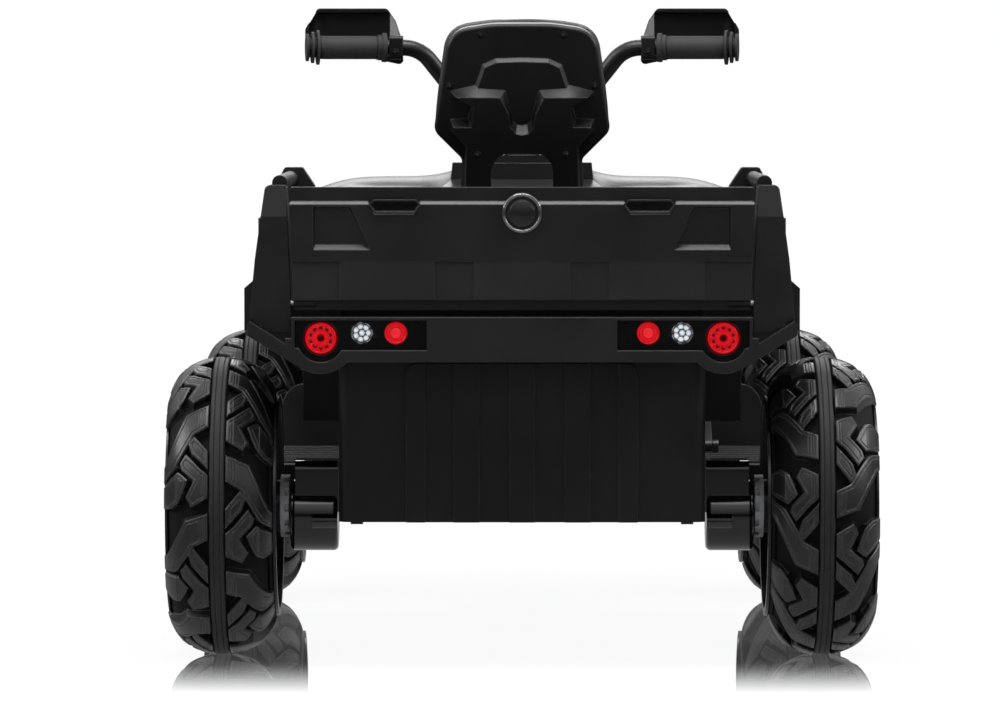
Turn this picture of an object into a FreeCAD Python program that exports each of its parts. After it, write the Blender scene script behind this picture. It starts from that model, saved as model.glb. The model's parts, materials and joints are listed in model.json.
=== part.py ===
import FreeCAD, Part
import math
import os
from FreeCAD import Vector

# Kids quad bike. Millimetres and degrees; +X is the rider's right, +Y forwards, +Z up.
# The origin is on the ground, under the middle of the whole machine.

# Layout
overall_width = 710.0
wheelbase = 680.0
rear_overhang = 180.0
front_overhang = 230.0
tyre_diameter = 300.0
tyre_width = 108.0
wall = 3.0
overrun = 6.0
running_clearance = 0.06
seat_clearance = 0.3
small_gap = 0.01

# Tyre: outer profile of the lugs and of the carcass, as shares of half the width and of the radius
lug_profile_shares = [(0.0, 1.0), (0.2, 1.0), (0.5, 0.967), (0.74, 0.917), (0.88, 0.852), (0.98, 0.775),
                      (1.0, 0.755)]
carcass_profile_shares = [(0.0, 0.948), (0.46, 0.91), (0.68, 0.864), (0.8, 0.81), (0.9, 0.765),
                          (0.926, 0.755)]
lug_root = 2.0
band_width = 15.0
band_depth = 2.0
band_sink = 0.5
band_groove = 2.4
tread_pitches = 8
lug_margin = 1.2
# Lug outlines: share of the way from band to shoulder, share of one pitch round the tyre
lug_shares = {
    "boomerang": [(0.0, 0.0), (0.49, 0.06), (0.95, 0.46), (1.08, 0.5), (1.08, 0.66), (0.78, 0.56),
                  (0.34, 0.26),
                  (0.0, 0.2)],
    "bar": [(0.0, 0.45), (0.32, 0.31), (0.41, 0.36), (0.34, 0.45), (0.0, 0.59)],
    "hook": [(0.0, 0.66), (0.22, 0.6), (0.5, 0.47), (0.6, 0.53), (0.56, 0.59), (0.28, 0.7), (0.46, 0.84),
             (0.36, 0.91),
             (0.0, 0.84)],
    "shoulder": [(0.5, 0.69), (0.68, 0.62), (1.08, 0.73), (1.08, 0.94), (0.84, 0.93), (0.68, 0.87)],
}

# Rim, hub and cap
rim_seat_radius = 107.0
rim_lip_height = 4.0
rim_lip_width = 3.0
rim_wall = 4.0
bead_outer_inset = 4.0
spoke_count = 6
spoke_disc_offset = 22.0
spoke_disc_width = 12.0
window_inner_radius = 40.0
window_edge = 6.0
spoke_width = 22.0
window_fillet = 6.0
window_reach_share = 0.88
hub_radius = 27.0
hub_inner_reach = 58.0
hub_outer_reach = 40.0
axle_radius = 6.0
axle_end_reach = 45.0
cap_radius = 30.0
cap_depth = 11.0
cap_wall = 3.0
cap_fillet = 3.0
cap_seat = 6.0

# Rear drive
coupling_width = 9.0
coupling_radius = 31.5
coupling_teeth = 12
coupling_tooth_depth = 4.0
coupling_tooth_width = 7.0
gearbox_gap = 1.0
gearbox_width = 52.0
gearbox_drum_radius = 36.0
gearbox_drop = 9.0
gearbox_block_half_depth = 29.0
gearbox_block_height = 56.0
gearbox_flange = 4.0
gearbox_fillet = 5.0
gearbox_boss_radius = 7.5
gearbox_boss_length = 26.0
gearbox_boss_drop = 4.0
gearbox_ridge_radius = 2.0
motor_radius = 18.0
motor_length = 58.0
motor_rise = 28.0
motor_cap_radius = 6.5
motor_cap_length = 8.0

# Lower tub
tub_rear_inset = 45.0
tub_pan_reach = 205.0
tub_front_inset = 105.0
tub_bottom_z = 143.0
tub_pan_top_z = 176.0
keel_width_share = 0.608
tub_corner = 12.0
rear_section_width_share = 0.63
rear_section_depth = 6.0
rear_section_top_z = 300.0
# Channel edges as shares of the raised face's half width
flute_shares = [(0.11, 0.37), (0.59, 0.835)]
flute_depth = 4.0
skirt_width = 12.0
skirt_drop = 2.0
vent_length = 46.0
vent_width = 14.0
vent_columns_shares = [0.42, 0.68]
vent_rows = 5
vent_pitch = 66.0
vent_reach = 255.0

# Rear body
bed_floor_z = 360.0
body_top_z = 476.0
body_rail_z = 440.0
body_bottom_z = 331.0
body_inset = 86.0
body_draw_in = 17.0
body_rear_inset = 18.0
pillar_crease_z = 445.0
pillar_lean = 6.0
pillar_depth = 46.0
pillar_slope = 24.0
body_front_reach = 159.0
body_front_chamfer = 34.0
bed_wall = 20.0
bed_draft = 5.0
bed_front_reach = 75.0
bed_front_wall_z = 470.0
bed_floor_start = 17.0
deck_z = 372.0
body_edge_fillet = 6.0
body_middle_share = 0.974
pillar_cap = 14.0
flare_reach = 6.0
flare_height = 52.0
flare_rear_reach = 107.0
flare_front_reach = 141.0
flare_slope = 10.0
flare_root_share = 0.02

# Tailgate
tailgate_gap = 3.0
tailgate_bottom_z = 353.0
tailgate_top_z = 474.0
tailgate_base = 6.0
tailgate_raise = 6.0
tailgate_panel_raise = 3.0
tailgate_inset = 3.0
tailgate_hinge_rise = 7.0
tailgate_barrel_radius = 5.0
tailgate_barrel_length = 22.0
tailgate_pin_radius = 2.5
tailgate_lip_height = 14.0
tailgate_strip_height = 10.0
tailgate_flange = 5.0
tailgate_chamfer = 3.0
field_lean = 3.5
field_crease_share_z = 0.397
recess_sill = 5.0
recess_draft = 1.5
tailgate_corner = 6.0
pocket_depth = 10.0
pocket_wall = 2.5
# Shares of the tailgate's half width and height
pocket_share_x = (0.463, 0.633)
pocket_share_z = (0.793, 0.9)
notch_share_x = (0.424, 0.672)
notch_floor_share_z = 0.777
recess_floor_share = 0.2
recess_shares = [(0.893, 0.84), (0.734, 0.84), (0.651, 0.492), (0.893, 0.492)]
panel_shares_x = [(-0.205, 0.205), (0.373, 0.782), (-0.782, -0.373)]
panel_share_z = (0.088, 0.463)
badge_share_z = 0.79
badge_radius = 20.0
badge_thickness = 4.0
badge_dome = 2.0

# Rear bumper and lamps
bumper_top_z = 347.0
bumper_depth = 36.0
bumper_wall = 3.0
bumper_centre_share = 0.346
lamp_panel_inset = 1.5
lamp_recess = 8.0
lamp_panel_thickness = 4.0
lamp_panel_gap = 0.3
lip_centre_z = 303.0
lip_band_height = 11.6
ledge_height = 3.0
# Places of the lamps, as shares of the lamp panel's width
big_lamp_share = 0.785
clear_lamp_share = 0.481
small_lamp_share = 0.23
big_lamp_z = 326.4
big_lamp_radius = 15.5
small_lamp_z = 331.4
clear_lamp_radius = 10.7
small_lamp_radius = 11.2
lamp_proud = 4.0
lamp_fillet = 1.5
lobe_radius = 35.0
lobe_half_angle = 32.0
wing_low_z = 329.0
notch_share = 0.6
wing_high_z = 343.0

# Grab rails
rail_radius = 7.5
rail_inset = 14.0
rail_z = 478.0
rail_rear_inset = 12.0
rail_bracket_reach = 140.0
bracket_length = 30.0
bracket_top_z = 489.6
bracket_inner_reach = 25.0
bracket_knee_z = 470.0
bracket_outer_reach = 16.0
bracket_foot_reach = 12.0
bracket_flat_width = 18.0
bracket_flat_offset = 12.0
bracket_fillet = 3.0

# Backrest
backrest_reach = 105.0
backrest_panel_depth = 16.0
backrest_bottom_z = 497.0
backrest_top_z = 637.7
backrest_half_width = 90.4
backrest_lean = 6.0
backrest_leg_outer = 68.0
backrest_leg_inner = 31.5
backrest_arch_z = 507.0
backrest_arch_radius = 20.0
backrest_crown_radius = 120.0
backrest_top_corner = 26.0
backrest_low_corner = 14.0
backrest_leg_corner = 8.0
backrest_edge_fillet = 4.0
backrest_step = 4.0
backrest_relief = 15.0
backrest_leg_face = 60.0
# Shares of the half width and of the panel's height
backrest_crown_shares = [(0.33, 1.0), (0.82, 0.952), (1.0, 0.22), (0.68, 0.015)]
step_root_shares = [(0.531, 0.25), (0.531, 0.55), (0.451, 0.704), (0.3, 0.748), (0.0, 0.754)]
step_face_shares = [(0.495, 0.25), (0.495, 0.543), (0.42, 0.681), (0.29, 0.72), (0.0, 0.726)]
relief_root_shares = [(0.64, 0.105), (0.81, 0.215), (0.81, 0.305), (0.61, 0.31), (0.565, 0.395),
                      (0.81, 0.475),
                      (0.81, 0.508), (0.53, 0.555), (0.17, 0.535), (0.115, 0.36), (0.1, 0.31), (0.05, 0.29),
                      (0.0, 0.285)]
relief_face_shares = [(0.625, 0.118), (0.775, 0.222), (0.775, 0.257), (0.575, 0.257), (0.55, 0.4),
                      (0.735, 0.466),
                      (0.735, 0.476), (0.51, 0.473), (0.25, 0.473), (0.155, 0.36), (0.125, 0.25),
                      (0.07, 0.21),
                      (0.0, 0.2)]
pad_margin = 3.0
backrest_pad_depth = 30.0
pad_crown = 9.0
pad_draw_in = 5.0

# Saddle body and seat
saddle_width_share = 0.575
saddle_draw_in = 8.0
saddle_shoulder = 30.0
saddle_gap = 4.0
side_panel_shares = [(0.1, 0.26), (0.72, 0.26), (0.86, 0.52), (0.78, 0.9), (0.1, 0.9)]
side_panel_raise = 2.5
side_panel_corner = 12.0
tank_start_reach = 295.0
tank_full_reach = 249.0
cowl_rear_reach = 220.0
tank_top_z = 472.0
tank_slope = 8.0
tank_neck_share = 0.3
cowl_width_share = 0.464
tower_front_reach = 110.0
tower_front_share = 0.762
tower_front_z = 330.0
seat_rear_reach = 153.0
seat_front_reach = 301.0
seat_height = 40.0
seat_crown = 9.0
seat_draw_in = 6.0
seat_overhang = 3.0
seat_corner = 26.0
seat_taper = 12.0

# Front body
cowl_top_z = 490.0
cowl_bottom_z = 386.0
nose_inset = 30.0
hood_fall = 146.0
# Hood stations: along from cowl to nose, half width and fall of the top, half width low down, fall of the edge
hood_shares = [(0.0, 0.9, 0.0, 1.0, 0.0), (0.26, 0.83, 0.01, 1.0, 0.0), (0.49, 0.74, 0.14, 1.0, 0.04),
               (0.73, 0.67, 0.4, 1.0, 0.18), (0.89, 0.6, 0.73, 0.95, 0.38), (1.0, 0.5, 1.0, 0.83, 0.47)]
fender_top_z = 469.0
fender_root_share = 0.46
fender_flat_share = 0.678
fender_inset = 63.0
fender_rear_reach = 189.0
fender_front_inset = 49.0
fender_fall = 117.0
fender_edge_drop = 44.0
fender_lip = 26.0
# Fender stations: along, half width of the flat, half width of the rim, fall of the flat, drop to the rim
fender_shares = [(0.0, 0.76, 0.72, 0.66, 0.3), (0.13, 0.95, 0.93, 0.07, 0.85), (0.28, 1.0, 1.0, 0.0, 0.95),
                 (0.55, 1.0, 1.0, 0.1, 0.88), (0.75, 0.96, 0.965, 0.36, 0.75), (0.91, 0.86, 0.87, 0.74, 0.5),
                 (1.0, 0.76, 0.72, 0.97, 0.3)]
mask_depth = 72.0
mask_front_inset = 37.0
mask_width_share = 0.637
mask_low_z = 300.0
mask_height = 120.0
# Mask outlines: half width and height, at the rear and at the front
mask_rear_shares = [(0.64, 0.0), (1.0, 0.42), (0.96, 0.74), (0.32, 0.86)]
mask_front_shares = [(0.6, 0.03), (0.87, 0.32), (0.81, 0.55), (0.27, 0.63)]
headlamp_shares = [(0.36, 0.3), (0.65, 0.21), (0.785, 0.33), (0.745, 0.49), (0.36, 0.53)]
headlamp_corner = 4.0
headlamp_gap = 0.3
headlamp_bezel = 5.0
headlamp_proud = 2.5
column_hole_clearance = 5.0

# Front grille and bumper
grille_width_share = 0.945
grille_top_z = 296.0
grille_thickness = 6.0
grille_bar_count = 4
grille_slot_height = 12.0
grille_margin = 12.0
grille_corner = 14.0
bumper_tube_radius = 9.0
bumper_tube_share = 0.764
bumper_tube_top_z = 318.0
bumper_tube_bar_z = 246.0
bumper_tube_bend = 34.0
bumper_tube_low_z = 160.0
bar_tube_share = 0.8

# Footboards and pedal
footboard_gap = 5.0
footboard_front_reach = 210.0
footboard_thickness = 5.0
footboard_skirt = 30.0
footboard_wall_reach = 46.0
footboard_wall_z = 226.0
footboard_front_wall_z = 250.0
footboard_corner = 24.0
footboard_rib_count = 9
footboard_rib_width = 6.0
footboard_rib_height = 2.5
footboard_rib_margin = 26.0
pedal_share = 0.355
pedal_half_width = 27.0
pedal_length = 88.0
pedal_thickness = 7.0
pedal_reach = 333.0
pedal_hinge_rise = 9.0
pedal_barrel_radius = 6.0
pedal_pin_radius = 3.0
pedal_angle = 22.0
pedal_ear_width = 6.0
pedal_ear_gap = 0.6
pedal_corner = 8.0
pedal_rib_count = 4
pedal_rib_width = 5.0
pedal_rib_height = 1.6

# Battery
battery_side_gap = 29.0
battery_length = 96.0
battery_height = 98.0
battery_reach = 215.0
battery_fillet = 3.0
terminal_radius = 5.0
terminal_height = 7.0

# Front axle and steering
kingpin_inset = 28.0
kingpin_radius = 7.0
boss_radius = 13.0
boss_low_z = 166.0
boss_high_z = 212.0
beam_half_depth = 13.0
beam_low_z = 176.0
beam_high_z = 204.0
steer_arm = 45.0
arm_thickness = 8.0
arm_half_width = 9.0
arm_rise = 0.8
knee_radius = 10.0
knee_gap = 0.6
stub_collar_radius = 11.0
tie_rod_thickness = 8.0
tie_rod_half_width = 8.0
tie_rod_gap = 1.0
tie_pin_radius = 4.0
tie_pin_clearance = 0.06
tie_open_clearance = 0.4
crank_pin_reach = 70.0
crank_slot_half_length = 9.0
crank_slot_clearance = 0.6
crank_thickness = 6.0
crank_half_width = 9.0
crank_offset = 15.0
column_tilt = 20.0
column_radius = 8.0
column_low_z = 178.0
bush_radius = 17.0

# Handlebar
bar_radius = 9.0
clamp_z = 524.0
bar_centre_half = 40.0
bar_rise_x = 112.0
grip_z = 615.0
grip_reach = 180.0
bar_bend_reach = 165.0
bar_end_x = 233.0
bar_bend = 36.0
clamp_half_width = 22.0
clamp_half_depth = 17.0
clamp_height = 36.0
clamp_fillet = 4.0
grip_inner_x = 158.0
grip_outer_x = 222.0
grip_end_wall = 2.5
ring_radii = [15.9, 13.9, 12.1, 18.8, 17.0, 15.0]
ring_neck = 11.0
ring_width = 4.8
guard_inner_x = 130.0
guard_outer_x = 237.0
guard_top_z = 658.0
guard_low_z = 596.0
guard_reach = 58.0
guard_wall = 4.0
guard_bend = 22.0
guard_visor = 22.0
guard_shoulder = 23.0
guard_shoulder_width = 13.0
guard_web_rise = 9.0
guard_web_lean = 9.0
guard_web_half = 2.5
guard_return = 40.0
guard_clamp_width = 14.5
guard_clamp_half = 13.0
guard_clamp_fillet = 4.0
guard_corner = 5.0
guard_drop = 22.0

# Dash and its controls
dash_inset = 20.0
dash_rear_inset = 4.0
dash_front_reach = 163.0
dash_low_height = 8.0
dash_high_height = 13.0
dash_corner = 12.0
dash_floor = 1.5
oval_half_width = 15.0
oval_height = 6.0
oval_depth = 2.0
pod_margin = 4.0
pod_depth = 16.0
button_radius = 9.0
button_x = -34.0
button_proud = 3.0
button_depth = 6.0
button_fillet = 1.0
button_travel_gap = 0.4
switch_x = 34.0
switch_half_width = 8.0
switch_half_length = 12.0
switch_proud = 4.0
switch_gap = 0.5
switch_pivot_radius = 2.0
switch_pivot_drop = 3.0
switch_foot_share = 0.7
control_y_share = 0.5

# Worked-out places
half_length = (rear_overhang + wheelbase + front_overhang) / 2
side_x = overall_width / 2
rear_y = -half_length
front_y = half_length
rear_axle_y = rear_y + rear_overhang
front_axle_y = rear_axle_y + wheelbase
tyre_radius = tyre_diameter / 2
axle_z = tyre_radius
tyre_half = tyre_width / 2
wheel_x = side_x - tyre_half
hub_inner_x = wheel_x - hub_inner_reach
coupling_inner_x = hub_inner_x - coupling_width
gearbox_outer_x = coupling_inner_x - gearbox_gap
tub_half_width = gearbox_outer_x - gearbox_width
tub_rear_y = rear_y + tub_rear_inset
tub_pan_front_y = front_axle_y - tub_pan_reach
tub_front_y = front_y - tub_front_inset
keel_half_width = tub_half_width * keel_width_share
rear_section_half_width = tub_half_width * rear_section_width_share
vent_front_y = front_axle_y - vent_reach
body_bottom_half_width = side_x - body_inset
body_top_half_width = body_bottom_half_width - body_draw_in
body_rear_y = rear_y + body_rear_inset
body_front_y = rear_axle_y + body_front_reach
tub_step_y = body_front_y - wall - seat_clearance
bed_top_half_width = body_top_half_width - bed_wall
bed_floor_half_width = bed_top_half_width - bed_draft
bed_front_y = rear_axle_y + bed_front_reach
flare_rear_y = rear_axle_y - flare_rear_reach
flare_front_y = rear_axle_y + flare_front_reach
bumper_half_width = body_bottom_half_width
bumper_centre_half_width = bumper_half_width * bumper_centre_share
lamp_panel_half_width = bed_floor_half_width - lamp_panel_inset
lamp_panel_width = lamp_panel_half_width - bumper_centre_half_width
big_lamp_x = bumper_centre_half_width + lamp_panel_width * big_lamp_share
clear_lamp_x = bumper_centre_half_width + lamp_panel_width * clear_lamp_share
small_lamp_x = bumper_centre_half_width + lamp_panel_width * small_lamp_share
rail_x = body_top_half_width - rail_inset
rail_rear_y = body_rear_y + rail_rear_inset
rail_bracket_y = rear_axle_y + rail_bracket_reach
bracket_inner_x = rail_x - bracket_inner_reach
bracket_outer_x = rail_x + bracket_outer_reach
backrest_rear_y = rear_axle_y + backrest_reach
saddle_half_width = tub_half_width * saddle_width_share
saddle_top_half_width = saddle_half_width - saddle_draw_in
saddle_rear_y = body_front_y + saddle_gap
tank_start_y = front_axle_y - tank_start_reach
tank_full_y = front_axle_y - tank_full_reach
cowl_rear_y = front_axle_y - cowl_rear_reach
cowl_half_width = tub_half_width * cowl_width_share
tower_front_y = front_axle_y - tower_front_reach
tower_front_half_width = cowl_half_width * tower_front_share
seat_rear_y = rear_axle_y + seat_rear_reach
seat_front_y = front_axle_y - seat_front_reach
nose_y = front_y - nose_inset
fender_half_width = side_x - fender_inset
fender_flat_outer = fender_half_width * fender_flat_share
fender_root_x = cowl_half_width * fender_root_share
fender_rear_y = front_axle_y - fender_rear_reach
fender_front_y = front_y - fender_front_inset
mask_front_y = front_y - mask_front_inset
mask_rear_y = mask_front_y - mask_depth
mask_half_width = fender_half_width * mask_width_share
grille_half_width = keel_half_width * grille_width_share
bumper_tube_half_width = keel_half_width * bumper_tube_share
footboard_inner_x = saddle_half_width + wall
footboard_outer_x = wheel_x
footboard_rear_y = body_front_y + footboard_gap
footboard_front_y = front_axle_y - footboard_front_reach
footboard_rear_wall_x = tub_half_width + footboard_wall_reach
pedal_x = footboard_inner_x + (footboard_outer_x - footboard_inner_x) * pedal_share
pedal_hinge_y = front_axle_y - pedal_reach
battery_half_width = saddle_half_width - battery_side_gap
battery_rear_y = rear_axle_y + battery_reach
kingpin_x = hub_inner_x - kingpin_inset
crank_pin_y = front_axle_y - crank_pin_reach
grip_y = front_axle_y - grip_reach
bar_bend_y = front_axle_y - bar_bend_reach
dash_half_width = cowl_half_width - dash_inset
dash_rear_y = cowl_rear_y + dash_rear_inset
dash_front_y = front_axle_y - dash_front_reach
band_seat_radius = carcass_profile_shares[0][1] * tyre_radius - band_depth
footboard_top_z = tub_pan_top_z + footboard_thickness
tilt = math.radians(column_tilt)
column_axis = Vector(0, -math.sin(tilt), math.cos(tilt))
tie_rod_low_z = boss_high_z + arm_rise + arm_thickness + tie_rod_gap
tie_rod_mid_z = tie_rod_low_z + tie_rod_thickness / 2
crank_pin = Vector(0, crank_pin_y, tie_rod_mid_z)
crank_down = Vector(0, -math.cos(tilt), -math.sin(tilt))
column_point = crank_pin - crank_down * steer_arm
tailgate_hinge = Vector(0, body_rear_y + tailgate_inset + tailgate_base / 2,
                        tailgate_bottom_z + tailgate_hinge_rise)


def column_at(z):
    return column_point + column_axis * ((z - column_point.z) / column_axis.z)


def block(x0, x1, y0, y1, z0, z1):
    return Part.makeBox(x1 - x0, y1 - y0, z1 - z0, Vector(x0, y0, z0))


def rod(radius, start, end):
    axis = end - start
    return Part.makeCylinder(radius, axis.Length, start, axis)


def on_plane(plane, distance):
    return {
        "rear": lambda a, b: Vector(a, distance, b),
        "side": lambda a, b: Vector(distance, a, b),
        "plan": lambda a, b: Vector(a, b, distance),
    }[plane]


def outline(corners, place):
    """Closed wire through corners (a, b) or (a, b, radius); a radius rounds that corner with an arc."""
    count = len(corners)
    spots = [Vector(corner[0], corner[1], 0) for corner in corners]
    ends = []
    for i, corner in enumerate(corners):
        radius = corner[2] if len(corner) > 2 else 0
        back = (spots[i - 1] - spots[i]).normalize()
        ahead = (spots[(i + 1) % count] - spots[i]).normalize()
        if radius:
            half = back.getAngle(ahead) / 2
            reach = radius / math.tan(half)
            inward = (back + ahead).normalize()
            tip = spots[i] + inward * (radius / math.sin(half) - radius)
            ends.append((spots[i] + back * reach, tip, spots[i] + ahead * reach))
        else:
            ends.append((spots[i], None, spots[i]))
    edges = []
    for i, (start, tip, stop) in enumerate(ends):
        if tip:
            edges.append(Part.Arc(place(start.x, start.y), place(tip.x, tip.y),
                                  place(stop.x, stop.y)).toShape())
        nearest = ends[(i + 1) % count][0]
        if not nearest.isEqual(stop, small_gap):
            edges.append(Part.LineSegment(place(stop.x, stop.y), place(nearest.x, nearest.y)).toShape())
    return Part.Wire(Part.__sortEdges__(edges))


def prism(corners, plane, start, end):
    """Outline in the rear (x, z), side (y, z) or plan (x, y) plane, extruded from start to end."""
    along = {"rear": Vector(0, 1, 0), "side": Vector(1, 0, 0), "plan": Vector(0, 0, 1)}[plane]
    face = Part.Face(outline(corners, on_plane(plane, start)))
    return face.extrude(along * (end - start))


def both_sides(half):
    """Whole outline from its +X half, listed from the top middle round to the bottom middle."""
    return list(half) + [(-corner[0],) + tuple(corner[1:]) for corner in reversed(half)]


def turned(corners):
    """Solid of revolution about the X axis from corners (x, radius)."""
    face = Part.Face(outline(corners, on_plane("rear", 0)))
    return face.revolve(Vector(0, 0, 0), Vector(1, 0, 0), 360)


def mirrored(shape):
    return shape.mirror(Vector(0, 0, 0), Vector(1, 0, 0))


def pair(shape):
    return Part.Compound([shape, mirrored(shape)])


def tube(points, radius, bend):
    """Round bar along straight runs joined by tangent arcs."""
    edges = []
    last = points[0]
    for before, here, after in zip(points, points[1:], points[2:]):
        back = (before - here).normalize()
        ahead = (after - here).normalize()
        half = back.getAngle(ahead) / 2
        reach = bend / math.tan(half)
        tip = here + (back + ahead).normalize() * (bend / math.sin(half) - bend)
        edges.append(Part.LineSegment(last, here + back * reach).toShape())
        edges.append(Part.Arc(here + back * reach, tip, here + ahead * reach).toShape())
        last = here + ahead * reach
    edges.append(Part.LineSegment(last, points[-1]).toShape())
    ring = Part.Wire(Part.makeCircle(radius, points[0], points[1] - points[0]))
    return Part.Wire(edges).makePipeShell([ring], True, False)


def rounded(shape, radius, chosen):
    """Fillet of the edges that chosen picks."""
    edges = [edge for edge in shape.Edges if chosen(edge)]
    return shape.makeFillet(radius, edges)


def loft(sections):
    wires = []
    for y, half in sections:
        corners = [(x, z) for x, z in half]
        points = [Vector(x, y, z) for x, z in corners] + [Vector(-x, y, z) for x, z in reversed(corners)
                                                          if x > 0]
        wires.append(Part.makePolygon(points + points[:1]))
    return Part.makeLoft(wires, True, True)


def spun(shape, angle):
    copy = shape.copy()
    copy.rotate(Vector(0, 0, 0), Vector(1, 0, 0), angle)
    return copy


def carcass_profile():
    right = [(a * tyre_half, b * tyre_radius) for a, b in carcass_profile_shares]
    right[-1] = (tyre_half - bead_outer_inset, right[-1][1])
    return right


def carcass():
    right = carcass_profile()
    left = [(-a, b) for a, b in right[:0:-1]]
    bore = rim_seat_radius + running_clearance
    solid = turned(left + right + [(tyre_half - bead_outer_inset, bore), (-tyre_half, bore)])
    half = band_width / 2 + running_clearance
    seat = band_seat_radius - running_clearance
    top = tyre_radius + overrun
    return solid.cut(turned([(-half, seat), (half, seat), (half, top), (-half, top)]))


def tread_ring():
    outer = [(a * tyre_half, b * tyre_radius) for a, b in lug_profile_shares]
    inner = [(a, b - lug_root) for a, b in carcass_profile()]
    top = [(-a, b) for a, b in outer[:0:-1]] + outer
    under = [(a, b) for a, b in reversed(inner)] + [(-a, b) for a, b in inner[1:]]
    return turned(top + under)


def tread_lugs():
    ring = tread_ring()
    step = 360 / tread_pitches
    arc = math.tau * tyre_radius / tread_pitches
    start = band_width / 2 + lug_margin
    lugs = []
    for side in (1, -1):
        for shares in lug_shares.values():
            middle = sum(b for a, b in shares) / len(shares)
            corners = [(side * (start + a * (tyre_half - start)), (b - middle) * arc) for a, b in shares]
            lug = ring.common(prism(corners, "plan", rim_seat_radius, tyre_radius + overrun))
            stagger = 0 if side > 0 else 1 / 2
            lugs += [spun(lug, -(middle + stagger + turn) * step) for turn in range(tread_pitches)]
    return lugs


def tyre():
    return carcass().multiFuse(tread_lugs())


def traction_band():
    half = band_width / 2
    outer = tyre_radius - band_sink
    notch = band_groove / 2
    return turned([(-half, band_seat_radius), (half, band_seat_radius), (half, outer),
                   (notch, outer), (0, outer - notch), (-notch, outer), (-half, outer)])


def rim():
    bore = rim_seat_radius - rim_wall
    lip = rim_seat_radius + rim_lip_height
    left, right = -tyre_half, tyre_half - bead_outer_inset
    barrel = turned([(left - rim_lip_width, bore), (left - rim_lip_width, lip), (left, lip),
                     (left, rim_seat_radius),
                     (right, rim_seat_radius), (right, lip), (right + rim_lip_width, lip),
                     (right + rim_lip_width, bore)])
    disc = turned([(spoke_disc_offset, 0), (spoke_disc_offset + spoke_disc_width, 0),
                   (spoke_disc_offset + spoke_disc_width, bore + rim_wall / 2),
                   (spoke_disc_offset, bore + rim_wall / 2)])
    step = math.pi / spoke_count
    margin = spoke_width / 2 / math.cos(step)
    outer = (bore - window_edge) * window_reach_share
    narrow = window_inner_radius * math.tan(step) - margin
    wide = outer * math.tan(step) - margin
    window = prism([(-narrow, window_inner_radius, window_fillet / 2), (-wide, outer, window_fillet),
                    (wide, outer, window_fillet), (narrow, window_inner_radius, window_fillet / 2)],
                   "side", spoke_disc_offset - overrun, spoke_disc_offset + spoke_disc_width + overrun)
    hub = rod(hub_radius, Vector(-hub_inner_reach, 0, 0), Vector(hub_outer_reach, 0, 0))
    bored = rod(axle_radius + running_clearance, Vector(-tyre_width, 0, 0), Vector(tyre_width, 0, 0))
    windows = [spun(window, 360 * turn / spoke_count) for turn in range(spoke_count)]
    return barrel.fuse(disc).fuse(hub).cut(windows + [bored])


def hub_cap():
    start = Vector(hub_outer_reach, 0, 0)
    dome = rounded(rod(cap_radius, start, start + Vector(cap_depth, 0, 0)), cap_fillet,
                   lambda edge: edge.BoundBox.XMin > hub_outer_reach + cap_depth / 2
                   and edge.BoundBox.YLength > cap_radius)
    cavity = rod(hub_radius - cap_seat, start - Vector(overrun, 0, 0), start + Vector(cap_depth - cap_wall, 0,
                                                                                      0))
    return dome.cut(cavity)


def drive_coupling():
    start = Vector(-hub_inner_reach - coupling_width, 0, 0)
    disc = rod(coupling_radius, start, Vector(-hub_inner_reach, 0, 0))
    half = coupling_tooth_width / 2
    notch = block(start.x - overrun, start.x + coupling_width / 2, -half, half,
                  coupling_radius - coupling_tooth_depth, coupling_radius + overrun)
    bored = rod(axle_radius + running_clearance, start - Vector(overrun, 0, 0), Vector(0, 0, 0))
    return disc.cut([spun(notch, 360 * turn / coupling_teeth) for turn in range(coupling_teeth)] + [bored])


def at_wheel(shape, side, y):
    copy = shape.copy()
    if side < 0:
        copy.rotate(Vector(0, 0, 0), Vector(0, 0, 1), 180)
    copy.translate(Vector(side * wheel_x, y, axle_z))
    return copy


def wheels():
    made = {"tyre": tyre(), "traction_band": traction_band(), "rim": rim(), "hub_cap": hub_cap()}
    parts = {}
    for end, y in (("front", front_axle_y), ("rear", rear_axle_y)):
        for hand, side in (("left", -1), ("right", 1)):
            for kind, shape in made.items():
                parts[f"{end}_{hand}_{kind}"] = at_wheel(shape, side, y)
    coupling = drive_coupling()
    parts["drive_coupling_left"] = at_wheel(coupling, -1, rear_axle_y)
    parts["drive_coupling_right"] = at_wheel(coupling, 1, rear_axle_y)
    return parts


def rear_axle():
    reach = wheel_x + axle_end_reach
    return rod(axle_radius, Vector(-reach, rear_axle_y, axle_z), Vector(reach, rear_axle_y, axle_z))


def axle_bore(clearance):
    reach = overall_width
    return rod(axle_radius + clearance, Vector(-reach, rear_axle_y, axle_z), Vector(reach, rear_axle_y,
                                                                                    axle_z))


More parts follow.
